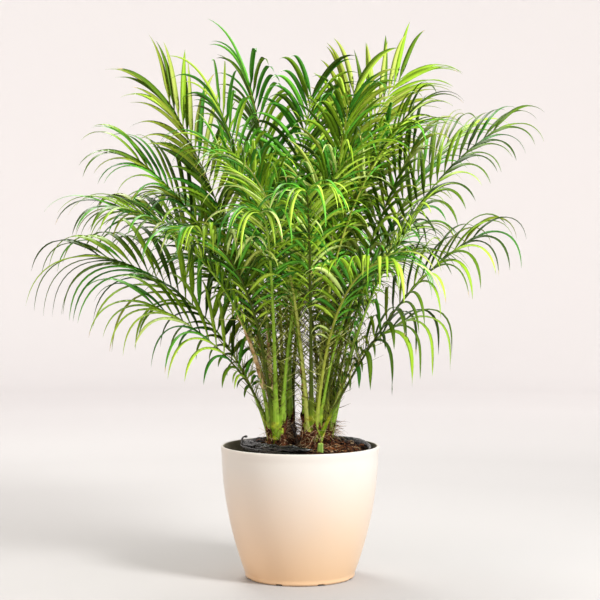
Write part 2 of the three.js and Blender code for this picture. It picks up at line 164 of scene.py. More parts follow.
# A tube along a line: section holds the outline at radius 1, across and out
def tube(line, across, radii, section):
    along = unit(np.gradient(line, axis=0))
    across = unit(across - along * (across * along).sum(-1, keepdims=True))
    out = np.cross(across, along)
    sections = np.broadcast_to(section, (len(line),) + section.shape[-2:])
    wide = sections[..., :1] * across[:, None]
    deep = sections[..., 1:] * out[:, None]
    rings = line[:, None] + radii[:, None, None] * (wide + deep)
    travelled = np.concatenate([[0], np.cumsum(np.linalg.norm(np.diff(line, axis=0), axis=1))])
    turn = 1 - np.abs(1 - 2 * np.arange(section.shape[-2]) / section.shape[-2])
    return loft(rings, np.stack(np.broadcast_arrays(turn[None], travelled[:, None] / 10), -1))


# Nodes: each socket gets a number, a colour or the output that feeds it

def feed(tree, node, values):
    for name, value in values.items():
        socket = node.inputs[name]
        if isinstance(value, bpy.types.NodeSocket):
            tree.links.new(value, socket)
        else:
            socket.default_value = (*value, 1) if socket.type == "RGBA" else value


def addNode(tree, kind, values, **settings):
    node = tree.nodes.new("ShaderNode" + kind)
    for name, value in settings.items():
        setattr(node, name, value)
    feed(tree, node, values)
    return node.outputs


def times(tree, first, second):
    return addNode(tree, "Math", {0: first, 1: second}, operation="MULTIPLY")["Value"]


def colourMix(tree, share, first, second):
    return addNode(tree, "Mix", {0: share, 6: first, 7: second}, data_type="RGBA")[2]


# How far up between two heights in millimetres, from 0 to 1
def heightShare(tree, low, high):
    height = addNode(tree, "SeparateXYZ", {0: addNode(tree, "TexCoord", {})["Object"]})["Z"]
    limits = {"From Min": low * metres, "From Max": high * metres}
    return addNode(tree, "MapRange", {"Value": height, **limits})["Result"]


# Shared effects, as node groups

socketKinds = {1: "NodeSocketFloat", 3: "NodeSocketVector", 4: "NodeSocketColor"}  # by how much they hold
outputSizes = {"Colour": 4, "Normal": 3, "Mask": 1}


def newGroup(name, inputs, *outputs):
    group = bpy.data.node_groups.new(name, "ShaderNodeTree")
    for socketName, value in inputs.items():
        kind = socketKinds[np.size(value)]
        group.interface.new_socket(name=socketName, in_out="INPUT", socket_type=kind).default_value = value
    for socketName in outputs:
        kind = socketKinds[outputSizes[socketName]]
        group.interface.new_socket(name=socketName, in_out="OUTPUT", socket_type=kind)
    return group, group.nodes.new("NodeGroupInput").outputs, group.nodes.new("NodeGroupOutput")


# Patches of a second colour over a first, from noise at the piece's own scale
def makeMottle():
    inputs = {"Base": (0.5, 0.5, 0.5, 1), "Second": (0.2, 0.2, 0.2, 1), "Scale": 40, "Low": 0.4, "High": 0.6}
    group, given, result = newGroup("mottle", inputs, "Colour", "Mask")
    spot = addNode(group, "TexCoord", {})["Object"]
    texture = {"Vector": spot, "Scale": given["Scale"], "Detail": 4, "Roughness": 0.6}
    noise = addNode(group, "TexNoise", texture)
    limits = {"From Min": given["Low"], "From Max": given["High"]}
    mask = addNode(group, "MapRange", {"Value": noise["Fac"], **limits})["Result"]
    feed(group, result, {"Colour": colourMix(group, mask, given["Base"], given["Second"]), "Mask": mask})
    return group


# Fine grain, as a bumped normal and a mask
def makeGrain():
    inputs = {"Scale": 300, "Stretch": (1, 1, 1), "Strength": 0.3, "Distance": 0.0005}
    group, given, result = newGroup("grain", inputs, "Normal", "Mask")
    spot = addNode(group, "TexCoord", {})["Object"]
    spot = addNode(group, "VectorMath", {0: spot, 1: given["Stretch"]}, operation="MULTIPLY")["Vector"]
    noise = addNode(group, "TexNoise", {"Vector": spot, "Scale": given["Scale"], "Detail": 3})["Fac"]
    relief = {"Height": noise, "Strength": given["Strength"], "Distance": given["Distance"]}
    feed(group, result, {"Normal": addNode(group, "Bump", relief)["Normal"], "Mask": noise})
    return group


# Fine lines that run along a leaf or stalk, and slow changes of tone on their way
def makeVeins():
    inputs = {"Base": (0.1, 0.3, 0.05, 1), "Line": (0.2, 0.4, 0.1, 1),
              "Count": 9, "Amount": 0.4, "Relief": 0.3}
    group, given, result = newGroup("veins", inputs, "Colour", "Normal", "Mask")
    spot = addNode(group, "SeparateXYZ", {0: addNode(group, "TexCoord", {})["UV"]})
    lengthShare = 0.12  # lines are long
    stretched = {"X": times(group, spot["X"], given["Count"]), "Y": times(group, spot["Y"], lengthShare)}
    spot = addNode(group, "CombineXYZ", stretched)["Vector"]
    noise = addNode(group, "TexNoise", {"Vector": spot, "Scale": 1, "Detail": 2})["Fac"]
    mask = addNode(group, "MapRange", {"Value": noise, "From Min": 0.35, "From Max": 0.7})["Result"]
    relief = {"Height": noise, "Strength": given["Relief"], "Distance": 0.0003}
    colour = colourMix(group, times(group, mask, given["Amount"]), given["Base"], given["Line"])
    normal = addNode(group, "Bump", relief)["Normal"]
    feed(group, result, {"Colour": colour, "Normal": normal, "Mask": mask})
    return group


mottle = makeMottle()
grain = makeGrain()
veins = makeVeins()


def place(material, group, **values):
    return addNode(material.node_tree, "Group", values, node_tree=group)


def newMaterial(name, colour, roughness, **plain):
    material = bpy.data.materials.new(name)
    material.use_nodes = True
    material.diffuse_color = (*colour, 1)
    plain = {socketName.replace("_", " "): value for socketName, value in plain.items()}
    shader = material.node_tree.nodes["Principled BSDF"]
    feed(material.node_tree, shader, {"Base Color": colour, "Roughness": roughness, **plain})
    return material


# The finish over a surface: colour, normal, and roughness that follows a mask between two values
def dress(material, colour, normal, mask, low, high):
    tree = material.node_tree
    roughness = addNode(tree, "MapRange", {"Value": mask, "To Min": low, "To Max": high})["Result"]
    shader = tree.nodes["Principled BSDF"]
    feed(tree, shader, {"Base Color": colour, "Normal": normal, "Roughness": roughness})
    return material


def leafMaterial(name, colour, line, roughness=0.45):
    material = newMaterial(name, colour, roughness, Specular_IOR_Level=0.14)
    lines = place(material, veins, Base=colour, Line=line, Count=11, Amount=0.5, Relief=0.35)
    return dress(material, lines["Colour"], lines["Normal"], lines["Mask"], roughness - 0.06, roughness + 0.1)


def roughMaterial(name, colour, second, scale, roughness, relief, stretch=(1, 1, 1), low=0.4, high=0.6):
    material = newMaterial(name, colour, roughness, Specular_IOR_Level=0.08)
    patches = place(material, mottle, Base=colour, Second=second, Scale=scale, Low=low, High=high)
    bumps = place(material, grain, Scale=scale * 4, Stretch=stretch, Strength=relief, Distance=0.0008)
    rougher = min(1, roughness + 0.1)
    return dress(material, patches["Colour"], bumps["Normal"], bumps["Mask"], roughness - 0.12, rougher)


# The camera stands where the photograph was taken, a little above the plant's middle

camera = {"distance": 3.15, "height": 0.625, "pitch": 1.821, "lens": 100, "sensor": 36}


def makeCamera():
    data = bpy.data.cameras.new("camera")
    data.lens = camera["lens"]
    data.sensor_width = camera["sensor"]
    turned = ((90 - camera["pitch"]) * degree, 0, 0)
    bpy.context.scene.camera = addItem("camera", data, (0, -camera["distance"], camera["height"]), turned)


studio = {
    "floorRadius": 4.2,
    "sweep": 0.9,  # radius of the curve from floor to wall
    "bends": 12, "around": 96,
    "wallHeight": 4.5,
    # how light the floor is, over the distance from its middle in metres, and its tint
    "floorTones": [(0.3, 0.42), (0.7, 0.45), (1.3, 0.465), (1.8, 0.52), (2.2, 0.61), (2.9, 0.76), (3.3, 0.85),
                   (4, 0.92)],
    "floorTint": (1.0, 0.972, 0.972),
    "sky": (1.0, 0.985, 0.97),
    "skyStrength": 0.78,
    "aim": (0, 0, 0.55),
    # name: place, size, power, colour
    "lamps": {
        "key": ((1.6, -1.5, 2.0), 0.7, 104, (1.0, 1.0, 0.98)),
        "fill": ((-2.6, -1.3, 1.0), 1.8, 21, (1.0, 0.77, 0.55)),
        "back": ((-0.6, 1.5, 2.3), 1.0, 52, (1.0, 1.0, 0.95)),
    },
}


# The floor is greyer under the lamps, so that it looks even
def floorMaterial():
    tones, tint = studio["floorTones"], np.array(studio["floorTint"])
    reach = 5  # metres, over the whole ramp
    material = newMaterial("paleFloor", tuple(tint * 0.9), 0.75, Specular_IOR_Level=0.2)
    tree = material.node_tree
    spot = addNode(tree, "TexCoord", {})["Object"]
    away = addNode(tree, "VectorMath", {0: spot}, operation="LENGTH")["Value"]
    share = addNode(tree, "Math", {0: away, 1: reach}, operation="DIVIDE")["Value"]
    ramp = tree.nodes.new("ShaderNodeValToRGB")
    stops = ramp.color_ramp.elements
    while len(stops) < len(tones):
        stops.new(0.5)
    for stop, (distance, tone) in zip(stops, tones):
        stop.position = distance / reach
    for stop, (distance, tone) in zip(stops, tones):
        stop.color = (*(tint * tone), 1)
    feed(tree, ramp, {"Fac": share})
    feed(tree, tree.nodes["Principled BSDF"], {"Base Color": ramp.outputs["Color"]})
    return material


def makeStudio():
    world = bpy.data.worlds.new("studio")
    bpy.context.scene.world = world
    world.use_nodes = True
    sky = {"Color": studio["sky"], "Strength": studio["skyStrength"]}
    feed(world.node_tree, world.node_tree.nodes["Background"], sky)
    bends = np.linspace(0, math.pi / 2, studio["bends"])
    radii = studio["floorRadius"] + studio["sweep"] * np.append(np.sin(bends), 1)
    heights = np.append(studio["sweep"] * (1 - np.cos(bends)), studio["wallHeight"])
    rings = roundAxis(radii[:, None], turnsOf(studio["around"]), heights[:, None])
    faces = ringQuads(len(radii), studio["around"]).tolist() + [list(range(studio["around"]))]
    mesh = bpy.data.meshes.new("floor")
    mesh.from_pydata(rings.reshape(-1, 3).tolist(), [], faces)
    mesh.shade_smooth()
    mesh.materials.append(floorMaterial())
    addItem("floor", mesh)
    for name, (spot, size, power, colour) in studio["lamps"].items():
        lamp = bpy.data.lights.new(name, "AREA")
        lamp.shape = "DISK"
        lamp.size = size
        lamp.energy = power
        lamp.color = colour
        aim = np.array(studio["aim"]) - np.array(spot)
        turned = (math.acos(-aim[2] / np.linalg.norm(aim)), 0, math.atan2(aim[1], aim[0]) - math.pi / 2)
        addItem(name, lamp, spot, turned)


makeCamera()
makeStudio()
bpy.context.scene.view_settings.view_transform = "Standard"
print("camera and studio")


# The crown: the same rule as the solids follow, carried to finer leaflets

soil = {"top": 250, "centre": 12, "radius": 118}
stem = {"height": 96, "outline": [(17, 0), (15, 8), (13.5, 40), (10.5, 70), (6, 88)]}  # radius, height
stems = {  # where each stands, and its lean
    "leftFront": (-42, -16, -0.05, -0.05),
    "leftRear": (-24, 24, 0, 0.06),
    "rightFront": (22, -22, 0, -0.05),
    "rightRear": (44, 18, 0.06, 0.04),
}
rib = {
    "seat": 12, "stub": 60, "foot": 4.8, "neck": 3, "tip": 1, "flat": 0.8, "thinning": 0.7, "steps": 160,
    "bare": 0.34,
    "room": 2.2,  # that two fronds leave each other
    "lifts": (0, 1.5, -1.5, 3), "turns": (0, 4, -4, 8, -8, 12, -12, 16, -16),  # tried in turn to find it
}
leaf = {
    "spacing": 13.5, "width": 7.8, "thick": 0.5, "steps": 14,
    "angle": 58, "closing": 36, "raise": 25, "shortest": 0.28, "lengthening": 1.9, "shortening": 0.15,
    "stagger": 0.012, "angleSpread": 8, "raiseSpread": 12, "droopSpread": 0.4, "lengthSpread": 0.14,
    "early": 5,  # thin leaflets before the first of the solids' own
    "earlyFall": 1.8,  # how fast those get shorter
    "hang": 1.2,  # the thin leaflets hang a little more than the solids
}


def frond(name, stemName, up, heading, rise, tip, length, leaf=160, roll=0, bend=1.6, droop=1.5, start=0.4):
    return dict(name=name, stem=stemName, up=up, heading=heading, rise=rise, tip=tip, length=length,
                leaf=leaf, roll=roll, bend=bend, droop=droop, start=start)


crown = [
    frond("leftLow", "leftFront", 6, 189, 86, 24, 355, leaf=190, roll=35, bend=0.7, droop=1.8, start=0.36),
    frond("leftSpread", "leftFront", 14, 169, 71, 10, 510, leaf=225, roll=38, bend=1.37, droop=2, start=0.36),
    frond("leftArch", "leftRear", 14, 188, 73, 35, 590, leaf=185, roll=35, bend=2.7),
    frond("leftTall", "leftRear", 36, 177, 75.5, 58, 650, leaf=175, roll=45, bend=2.67, droop=0.9),
    frond("leftUpright", "leftRear", 46, 238, 87, 62, 640, leaf=165, roll=20, bend=2.2, droop=1.5),
    frond("rightLow", "rightFront", 5, 356, 70, 22, 290, leaf=195, roll=-20, bend=2.1, droop=4.5, start=0.52),
    frond("rightSpread", "rightFront", 16, 342, 61, 29, 486, leaf=170, roll=-35, bend=2.34, droop=2.2),
    frond("rightMid", "rightFront", 34, 358, 76, 61, 563, leaf=145, roll=-35, bend=2.1, start=0.45),
    frond("rightUpright", "rightFront", 52, 42, 84, 73, 629, leaf=150, roll=-30, bend=2.55, droop=1.2),
    frond("rightLong", "rightRear", 14, 357, 76, 32, 674, leaf=145, roll=-40, bend=2.06, start=0.46),
    frond("rightInner", "rightRear", 28, 333, 75, 52, 440, leaf=140, roll=-20),
    frond("rightTall", "rightRear", 42, 37, 87, 42, 702, leaf=175, roll=-45, bend=2.74, droop=0.9),
    frond("leftFore", "leftFront", 32, 208, 79, 12, 540, leaf=170, roll=20),
    frond("leftBack", "leftRear", 24, 154, 75, 14, 570, leaf=170, roll=30),
    frond("frontLeftLow", "leftFront", 20, 238, 80, 5, 500, bend=2, droop=1.8, start=0.42),
    frond("frontMid", "leftFront", 26, 302, 81, 26, 600, bend=2.2, start=0.42),
    frond("frontLeft", "leftFront", 36, 266, 77, -8, 560, bend=2.2, droop=1.8, start=0.44),
    frond("frontHigh", "leftFront", 44, 332, 86, 20, 620, bend=2.2, start=0.44),
    frond("innerFront", "leftFront", 52, 12, 86, 42, 560, start=0.42),
    frond("leftSpire", "leftFront", 50, 218, 88.5, 62, 600),
    frond("leftBackLow", "leftRear", 6, 130, 76, 5, 470, bend=1.8),
    frond("backLow", "leftRear", 18, 110, 78, 0, 480, bend=1.8),
    frond("backLeft", "leftRear", 34, 139, 82.5, 15, 560),
    frond("back", "leftRear", 40, 92, 83.5, 20, 580),
    frond("centreBack", "leftRear", 52, 58, 84, 45, 600),
    frond("centreUp", "leftRear", 58, 285, 87, 50, 620, bend=2, start=0.42),
    frond("frontRightLow", "rightFront", 12, 300, 80, -5, 470, bend=2, droop=1.8, start=0.44),
    frond("frontRight", "rightFront", 24, 327, 78, 5, 411, bend=2.9),
    frond("frontRightMid", "rightFront", 30, 244, 79, 24, 580, bend=2.2, start=0.42),
    frond("frontTall", "rightFront", 38, 268, 76, 0, 570, bend=2.4, droop=1.8, start=0.44),
    frond("innerLeft", "rightFront", 46, 218, 84, 35, 560, bend=2, start=0.42),
    frond("rightSpire", "rightFront", 58, 330, 87.5, 45, 600),
    frond("backRightLow", "rightRear", 8, 72, 76, 0, 470, bend=1.8),
    frond("backRight", "rightRear", 22, 52, 79, 12, 520),
    frond("backMid", "rightRear", 34, 89, 81.5, 12, 520),
    frond("backUp", "rightRear", 48, 120, 82, 35, 600),
    frond("rightBack", "rightRear", 50, 18, 78, 45, 590, roll=-20),
    frond("centreFront", "rightRear", 54, 280, 84.5, 40, 620, bend=2, start=0.42),
]


def compass(turn):
    return np.array([math.cos(turn), math.sin(turn), 0])


def direction(row, share):
    share = np.asarray(share, float)
    rise = (row["rise"] + (row["tip"] - row["rise"]) * share ** row["bend"]) * degree
    return np.cos(rise)[..., None] * compass(row["heading"] * degree) + np.sin(rise)[..., None] * up


def sideOf(row):
    heading = row["heading"] * degree
    return np.array([math.sin(heading), -math.cos(heading), 0])


def ribRadius(share):
    low = mix(rib["foot"], rib["neck"], np.minimum(1, share / rib["bare"]) ** rib["thinning"])
    high = mix(rib["neck"], rib["tip"], (share - rib["bare"]) / (1 - rib["bare"]))
    return np.where(share < rib["bare"], low, high)


def stemAxis(name, height):
    x, y, leanX, leanY = stems[name]
    height = np.asarray(height, float)
    return np.stack([x + leanX * height, y + leanY * height, soil["top"] + height], -1)


def ribPath(row):
    start = stemAxis(row["stem"], row["up"]) + rib["seat"] * compass(row["heading"] * degree)
    shares = (np.arange(rib["steps"]) + 0.5) / rib["steps"]
    steps = direction(row, shares) * row["length"] / rib["steps"]
    return np.concatenate([[start], start + np.cumsum(steps, axis=0)])


def pointAt(path, share):
    spot = np.clip(np.asarray(share) * rib["steps"], 0, rib["steps"] - 1e-6)
    before = np.floor(spot).astype(int)
    return mix(path[before], path[before + 1], (spot - before)[..., None])


# Balls along a rib or a stem stand for it while the fronds are kept clear of each other
def ribBalls(row):
    shares = np.arange(rib["steps"] + 1) / rib["steps"]
    return ribPath(row), ribRadius(shares), shares * row["length"] > rib["stub"], row["stem"]


def stemBalls(name):
    heights, radii = [], []
    for (below, bottom), (above, top) in zip(stem["outline"], stem["outline"][1:]):
        levels = np.arange(bottom, top, 4)
        heights.append(levels)
        radii.append(mix(below, above, (levels - bottom) / (top - bottom)))
    heights = np.concatenate(heights)
    return stemAxis(name, heights), np.concatenate(radii), np.zeros(len(heights), bool), name


def meet(some, others):
    places, radii, free, owner = some
    otherPlaces, otherRadii, otherFree, otherOwner = others
    gaps = np.linalg.norm(places[:, None] - otherPlaces[None], axis=2) - radii[:, None] - otherRadii[None]
    if owner == otherOwner:
        gaps = np.where(free[:, None] | otherFree[None], gaps, rib["room"] + 1)
    return gaps.min() < rib["room"]


# A frond that would run into an earlier one is turned a little about its stem, or raised
def settle(rows):
    placed = [stemBalls(name) for name in stems]
    kept = []
    for row in rows:
        for lift, turn in product(rib["lifts"], rib["turns"]):
            moved = dict(row, heading=row["heading"] + turn, rise=row["rise"] + lift)
            balls = ribBalls(moved)
            if not any(meet(balls, others) for others in placed):
                placed.append(balls)
                kept.append(moved)
                break
    return kept


fronds = settle(crown)
print(f"crown: {len(fronds)} fronds settled")


# Stalks and ribs: a channelled stalk with a clasping foot, thinning into the rib between the leaflets

stalk = {
    "sides": 14,
    "stations": 64,
    "crowding": 1.15,  # stations stand closer at the foot
    "channel": 0.34,  # depth of the groove along the upper face, over the radius
    "grooveWidth": 0.42,
    "sink": 24,  # how far the clasping foot goes on, down and into the stem
    "clasp": 5,
    "tones": {  # colour, fine line
        "stalkDeep": ((0.02, 0.042, 0.001), (0.14, 0.18, 0.012)),
        "stalkOlive": ((0.22, 0.27, 0.015), (0.52, 0.54, 0.13)),
        "stalkGreen": ((0.16, 0.33, 0.012), (0.42, 0.57, 0.09)),
        "stalkPale": ((0.36, 0.43, 0.05), (0.66, 0.66, 0.24)),
    },
    # shares of the tones, in front and behind; behind, mostly the deep tone, as painted shade in the gaps
    # between the stalks
    "facing": [0.14, 0.22, 0.5, 0.14], "shadedBehind": [0.45, 0.2, 0.3, 0.05],
    "behind": 0.25,  # how far back a frond heads before its stalk counts as behind
    "flare": 4.5, "flared": 95,
    "footGreen": (0.13, 0.27, 0.002), "footYellow": (0.62, 0.6, 0.03), "spots": (0.05, 0.035, 0.008),
    "foot": 262,  # heights between which the yellow of the foot turns to green
    "turned": 350,
}


def stalkMaterial(name, colour, line):
    material = newMaterial(name, colour, 0.45, Specular_IOR_Level=0.16)
    tree = material.node_tree
    risen = heightShare(tree, stalk["foot"], stalk["turned"])
    green, yellow, dark = stalk["footGreen"], stalk["footYellow"], stalk["spots"]
    foot = place(material, mottle, Base=green, Second=yellow, Scale=48, Low=0.5, High=0.68)
    tone = colourMix(tree, risen, foot["Colour"], colour)
    streaks = place(material, veins, Base=tone, Line=line, Count=7, Amount=0.6, Relief=0.5)
    spots = place(material, mottle, Base=streaks["Colour"], Second=dark, Scale=60, Low=0.52, High=0.75)
    return dress(material, spots["Colour"], streaks["Normal"], streaks["Mask"], 0.38, 0.55)


def stalkSection(share):
    x, y = circle(stalk["sides"], rib["flat"]).T
    depth = stalk["channel"] * (1 - 0.7 * share)[:, None]
    upper = np.where(y > 0, y * 0.75 - depth * np.exp(-(x / stalk["grooveWidth"]) ** 2), y)
    return np.stack([np.broadcast_to(x, upper.shape), upper], -1)


# A stalk's line with its foot led on into the stem, and how far along the frond each station is
def stalkLine(row):
    path = ribPath(row)
    shares = np.linspace(0, 1, stalk["stations"]) ** stalk["crowding"]
    back = np.linspace(1, 0, 5)[:-1, None]
    inward = -compass(row["heading"] * degree)
    foot = path[0] - direction(row, 0) * stalk["sink"] * back + inward * stalk["clasp"] * back ** 2
    return np.concatenate([foot, pointAt(path, shares)]), np.concatenate([np.zeros(len(foot)), shares])


def makeStalks():
    random = np.random.default_rng(11)
    bundle = newBundle()
    for row in fronds:
        line, shares = stalkLine(row)
        gone = np.clip(shares * row["length"] / stalk["flared"], 0, 1)
        radii = ribRadius(shares) + stalk["flare"] * (1 - gone) ** 2
        # A stalk that heads back is dealt mostly the deep tone: painted shade behind the front stalks
        shadedBehind = math.sin(row["heading"] * degree) > stalk["behind"]
        tone = random.choice(4, p=stalk["shadedBehind" if shadedBehind else "facing"])
        addTo(bundle, tube(line, sideOf(row), radii, stalkSection(shares)), tone)
    materials = [stalkMaterial(name, *tones) for name, tones in stalk["tones"].items()]
    makePiece(bundle, "stalks", materials, "frond")


makeStalks()


# Leaflets: folded blades that arch over, dealt in the greens of their frond

greens = {
    "shade": ((0.025, 0.065, 0.002), (0.07, 0.14, 0.01)),
    "emerald": ((0.03, 0.17, 0.01), (0.1, 0.31, 0.03)),
    "jade": ((0.09, 0.36, 0.018), (0.22, 0.55, 0.07)),
    "dark": ((0.07, 0.15, 0.003), (0.16, 0.28, 0.014)),
    "middle": ((0.22, 0.4, 0.012), (0.38, 0.57, 0.05)),
    "fresh": ((0.38, 0.6, 0.035), (0.58, 0.76, 0.14)),
    "light": ((0.56, 0.74, 0.17), (0.76, 0.87, 0.4)),
    "olive": ((0.19, 0.26, 0.012), (0.4, 0.47, 0.07)),
    "oliveLight": ((0.34, 0.43, 0.06), (0.52, 0.59, 0.17)),
    "dryTip": ((0.5, 0.38, 0.12), (0.66, 0.52, 0.22)),
}
blade = {
    "footWidth": 0.36, "widest": (0.2, 0.38), "pointing": 2.1,  # the outline: a broad strap with a long point
    "slimmest": 0.2, "broadening": 105,  # a short leaflet is slimmer: this share, and its length over this
    "widths": (0.85, 1.12),
    "fold": 20,  # how far each half is folded up, in the middle of the blade
    "footFold": 62,
    "foldSpread": 5,
    "hangs": (-0.55, 0.25),  # between these a leaflet that points down turns its upper face to the sky
    "twist": 13,
    "curl": 0.06,
    "thinning": 0.7,
    "dryShare": 0.12,
    "unrest": 2.4,  # of the angles, in fronds whose leaflets stand close
}
# shares of the greens in a frond, in their own order
palettes = {
    "emerald": (0.12, 0.28, 0.3, 0.12, 0.11, 0.06, 0.01, 0, 0),
    "inner": (0.08, 0.14, 0.27, 0.09, 0.17, 0.16, 0.07, 0, 0.02),
    "bright": (0.05, 0.06, 0.18, 0.11, 0.2, 0.25, 0.12, 0, 0.03),
    "old": (0.16, 0.12, 0.04, 0.34, 0.22, 0.04, 0, 0.08, 0),
    "usual": (0.12, 0.1, 0.08, 0.28, 0.24, 0.08, 0.01, 0.08, 0.01),
    "young": (0.06, 0.02, 0, 0.28, 0.14, 0.02, 0, 0.34, 0.14),
}
# how far apart a frond's leaflets stand and how broad they are, in shares of the usual
closeness = {
    "innerLeft": (0.85, 0.85), "frontMid": (0.85, 0.85), "frontRightMid": (0.85, 0.85),
    "frontTall": (0.9, 0.9), "frontLeft": (0.9, 0.9), "frontHigh": (0.92, 0.95), "centreFront": (0.92, 0.95),
    "leftUpright": (1.15, 1.25), "centreUp": (1.1, 1.15), "backUp": (1.15, 1.2), "centreBack": (1.15, 1.2),
    "leftSpire": (1.1, 1.15), "innerFront": (1.1, 1.1), "rightSpire": (1.15, 1.15),
    "leftSpread": (1.25, 1.45), "leftArch": (1.2, 1.5), "leftTall": (1.2, 1.5), "leftBack": (1.15, 1.4),
    "leftFore": (1.1, 1.35), "leftLow": (1.35, 1.4), "backLeft": (1.1, 1.25),
    "rightSpread": (1.45, 1.3), "rightLong": (1.4, 1.3), "rightLow": (1.45, 1.35), "rightTall": (1.35, 1.4),
    "rightUpright": (1.3, 1.35), "rightMid": (1.3, 1.3), "rightInner": (1.3, 1.25), "rightBack": (1.3, 1.2),
}
early = {  # fronds with fewer thin leaflets at their start
    "leftLow": 1, "rightLow": 2, "rightSpread": 2, "frontLeftLow": 1, "frontRightLow": 1, "frontLeft": 1,
    "frontTall": 1, "frontRightMid": 1, "frontMid": 1, "frontRight": 1, "frontHigh": 2, "innerLeft": 2,
    "centreFront": 2, "innerFront": 2,
}
# The inner and bright palettes, dealt to the front and middle of the crown, are lighter: partly the fronds'
# own lighter green, partly painted light that lifts the shade there
paletteOf = {name: palette for palette, names in {
    "inner": "leftLow innerLeft frontLeftLow frontRightLow frontLeft frontHigh",
    "old": "leftSpread rightLow rightSpread rightLong leftBack backLeft",
    "young": "leftTall rightMid rightUpright rightTall",
    "emerald": "leftUpright back centreBack backUp leftSpire centreUp",
    "bright": "frontRightMid frontMid frontTall",
}.items() for name in names.split()}


def closenessOf(row):
    return closeness.get(row["name"], (1, 1))


def leafletCount(row):
    return round(row["length"] * (1 - row["start"]) / leaf["spacing"] / closenessOf(row)[0])


def bladeWidth(along):
    rise, fall = blade["widest"]
    rising = mix(blade["footWidth"], 1, smooth(0, rise, along))
    return rising * (1 - np.clip((along - fall) / (1 - fall), 0, 1) ** blade["pointing"])


# One leaflet's middle line, which way it heads along it, and which way its frond's face looks
def leafletLine(row, path, number, side, random, unrest):
    count, steps = leafletCount(row), leaf["steps"]
    share = min(1, (number + 0.3) / (count - 0.4) + (leaf["stagger"] if side > 0 else 0))
    onRib = row["start"] + (1 - row["start"]) * share
    along = direction(row, onRib)
    across = sideOf(row)
    face = np.cross(across, along)
    roll = row["roll"] * degree
    flat = across * math.cos(roll) + face * math.sin(roll)
    out = face * math.cos(roll) - across * math.sin(roll)
    chance = random.uniform(-0.5, 0.5, 4) * [unrest, unrest, unrest, 1]
    angle = (leaf["angle"] - leaf["closing"] * share + leaf["angleSpread"] * chance[0]) * degree
    lift = (leaf["raise"] + leaf["raiseSpread"] * chance[1]) * degree
    droop = leaf["hang"] * row["droop"] * (1 + leaf["droopSpread"] * chance[2])
    taper = min(1, leaf["shortest"] + leaf["lengthening"] * share) * (1 - leaf["shortening"] * share ** 2)
    if share < 0:
        taper = leaf["shortest"] * (1 + leaf["earlyFall"] * share)
    length = row["leaf"] * taper * (1 + leaf["lengthSpread"] * chance[3])
    raised = side * math.cos(lift) * flat + math.sin(lift) * out
    heading = along * math.cos(angle) + math.sin(angle) * raised
    sideways = unit(np.cross(heading, out)) * random.normal(0, blade["curl"])
    point = pointAt(path, onRib)
    line, headings = [point], [heading]
    for i in range(steps):
        pull = droop * 2 * (i + 0.5) / steps / steps
        sink = -up + up.dot(heading) * heading
        heading = unit(heading + sink * pull + sideways / steps)
        point = point + heading * length / steps
        line.append(point)
        headings.append(heading)
    return np.array(line), np.array(headings), out, length


def leafletBody(line, headings, out, length, width, random):
    along = np.linspace(0, 1, len(line))
    hanging = smooth(*blade["hangs"], -headings[:, 2])[:, None]
    across = unit(np.cross(mix(out, up, hanging), headings))
    over = np.cross(headings, across)
    twist = (random.normal(0, blade["twist"]) * along)[:, None] * degree
    turned = across * np.cos(twist) + over * np.sin(twist)
    across, over = turned, over * np.cos(twist) - across * np.sin(twist)
    half = 0.5 * width * bladeWidth(along) * random.uniform(*blade["widths"])
    half *= min(1, blade["slimmest"] + length / blade["broadening"])
    fold = blade["fold"] + random.normal(0, blade["foldSpread"])
    fold = mix(blade["footFold"], fold, smooth(0, 0.3, along)) * degree
    wide = across * (half * np.cos(fold))[:, None]
    lifted = over * (half * np.sin(fold))[:, None]
    thick = over * (leaf["thick"] * (1 - blade["thinning"] * along))[:, None] / 2
    rings = np.stack([line + wide + lifted, line + thick, line - wide + lifted, line - thick], 1)
    return loft(rings, np.stack(np.broadcast_arrays([1, 0.5, 0, 0.5], (along * length / 10)[:, None]), -1))


def makeLeaflets():
    random = np.random.default_rng(17)
    materials = [leafMaterial(name + "Leaf", *colours) for name, colours in greens.items()]
    bundles = {name: newBundle() for name in stems}
    for row in fronds:
        path = ribPath(row)
        shares = palettes[paletteOf.get(row["name"], "usual")]
        spread, broad = closenessOf(row)
        unrest = blade["unrest"] if spread < 1 else 1
        numbers = range(-early.get(row["name"], leaf["early"]), leafletCount(row))
        for number, side in product(numbers, (-1, 1)):
            leaflet = leafletLine(row, path, number, side, random, unrest)
            body = leafletBody(*leaflet, leaf["width"] * broad, random)
            tints = np.full(4 * leaf["steps"], random.choice(len(shares), p=shares))
            if random.uniform() < blade["dryShare"]:
                tints[-4:] = len(greens) - 1
            addTo(bundles[row["stem"]], body, [tints, tints[0]])
    for name, bundle in bundles.items():
        replaced = [row["name"] + "Frond" for row in fronds if row["stem"] == name]
        makePiece(bundle, name + "Leaflets", materials, "frond", *replaced)


makeLeaflets()


# Spines: slim needles in loose pairs along the bare stalks

spine = {
    "spacing": 8, "from": 0.05, "past": 12, "jitter": 3, "missing": 0.22,
    "short": 13, "long": 70, "lengths": (0.6, 1.35),
    "radius": 0.95, "radii": (0.8, 1.2), "sides": 5, "steps": 6,
    "angles": (38, 78), "lift": (18, 22), "bend": 0.16, "stray": 0.05,
    "shares": [0.45, 0.17, 0.38],
    "green": (0.14, 0.2, 0.01), "brown": (0.06, 0.035, 0.012), "pale": (0.6, 0.62, 0.2),
}


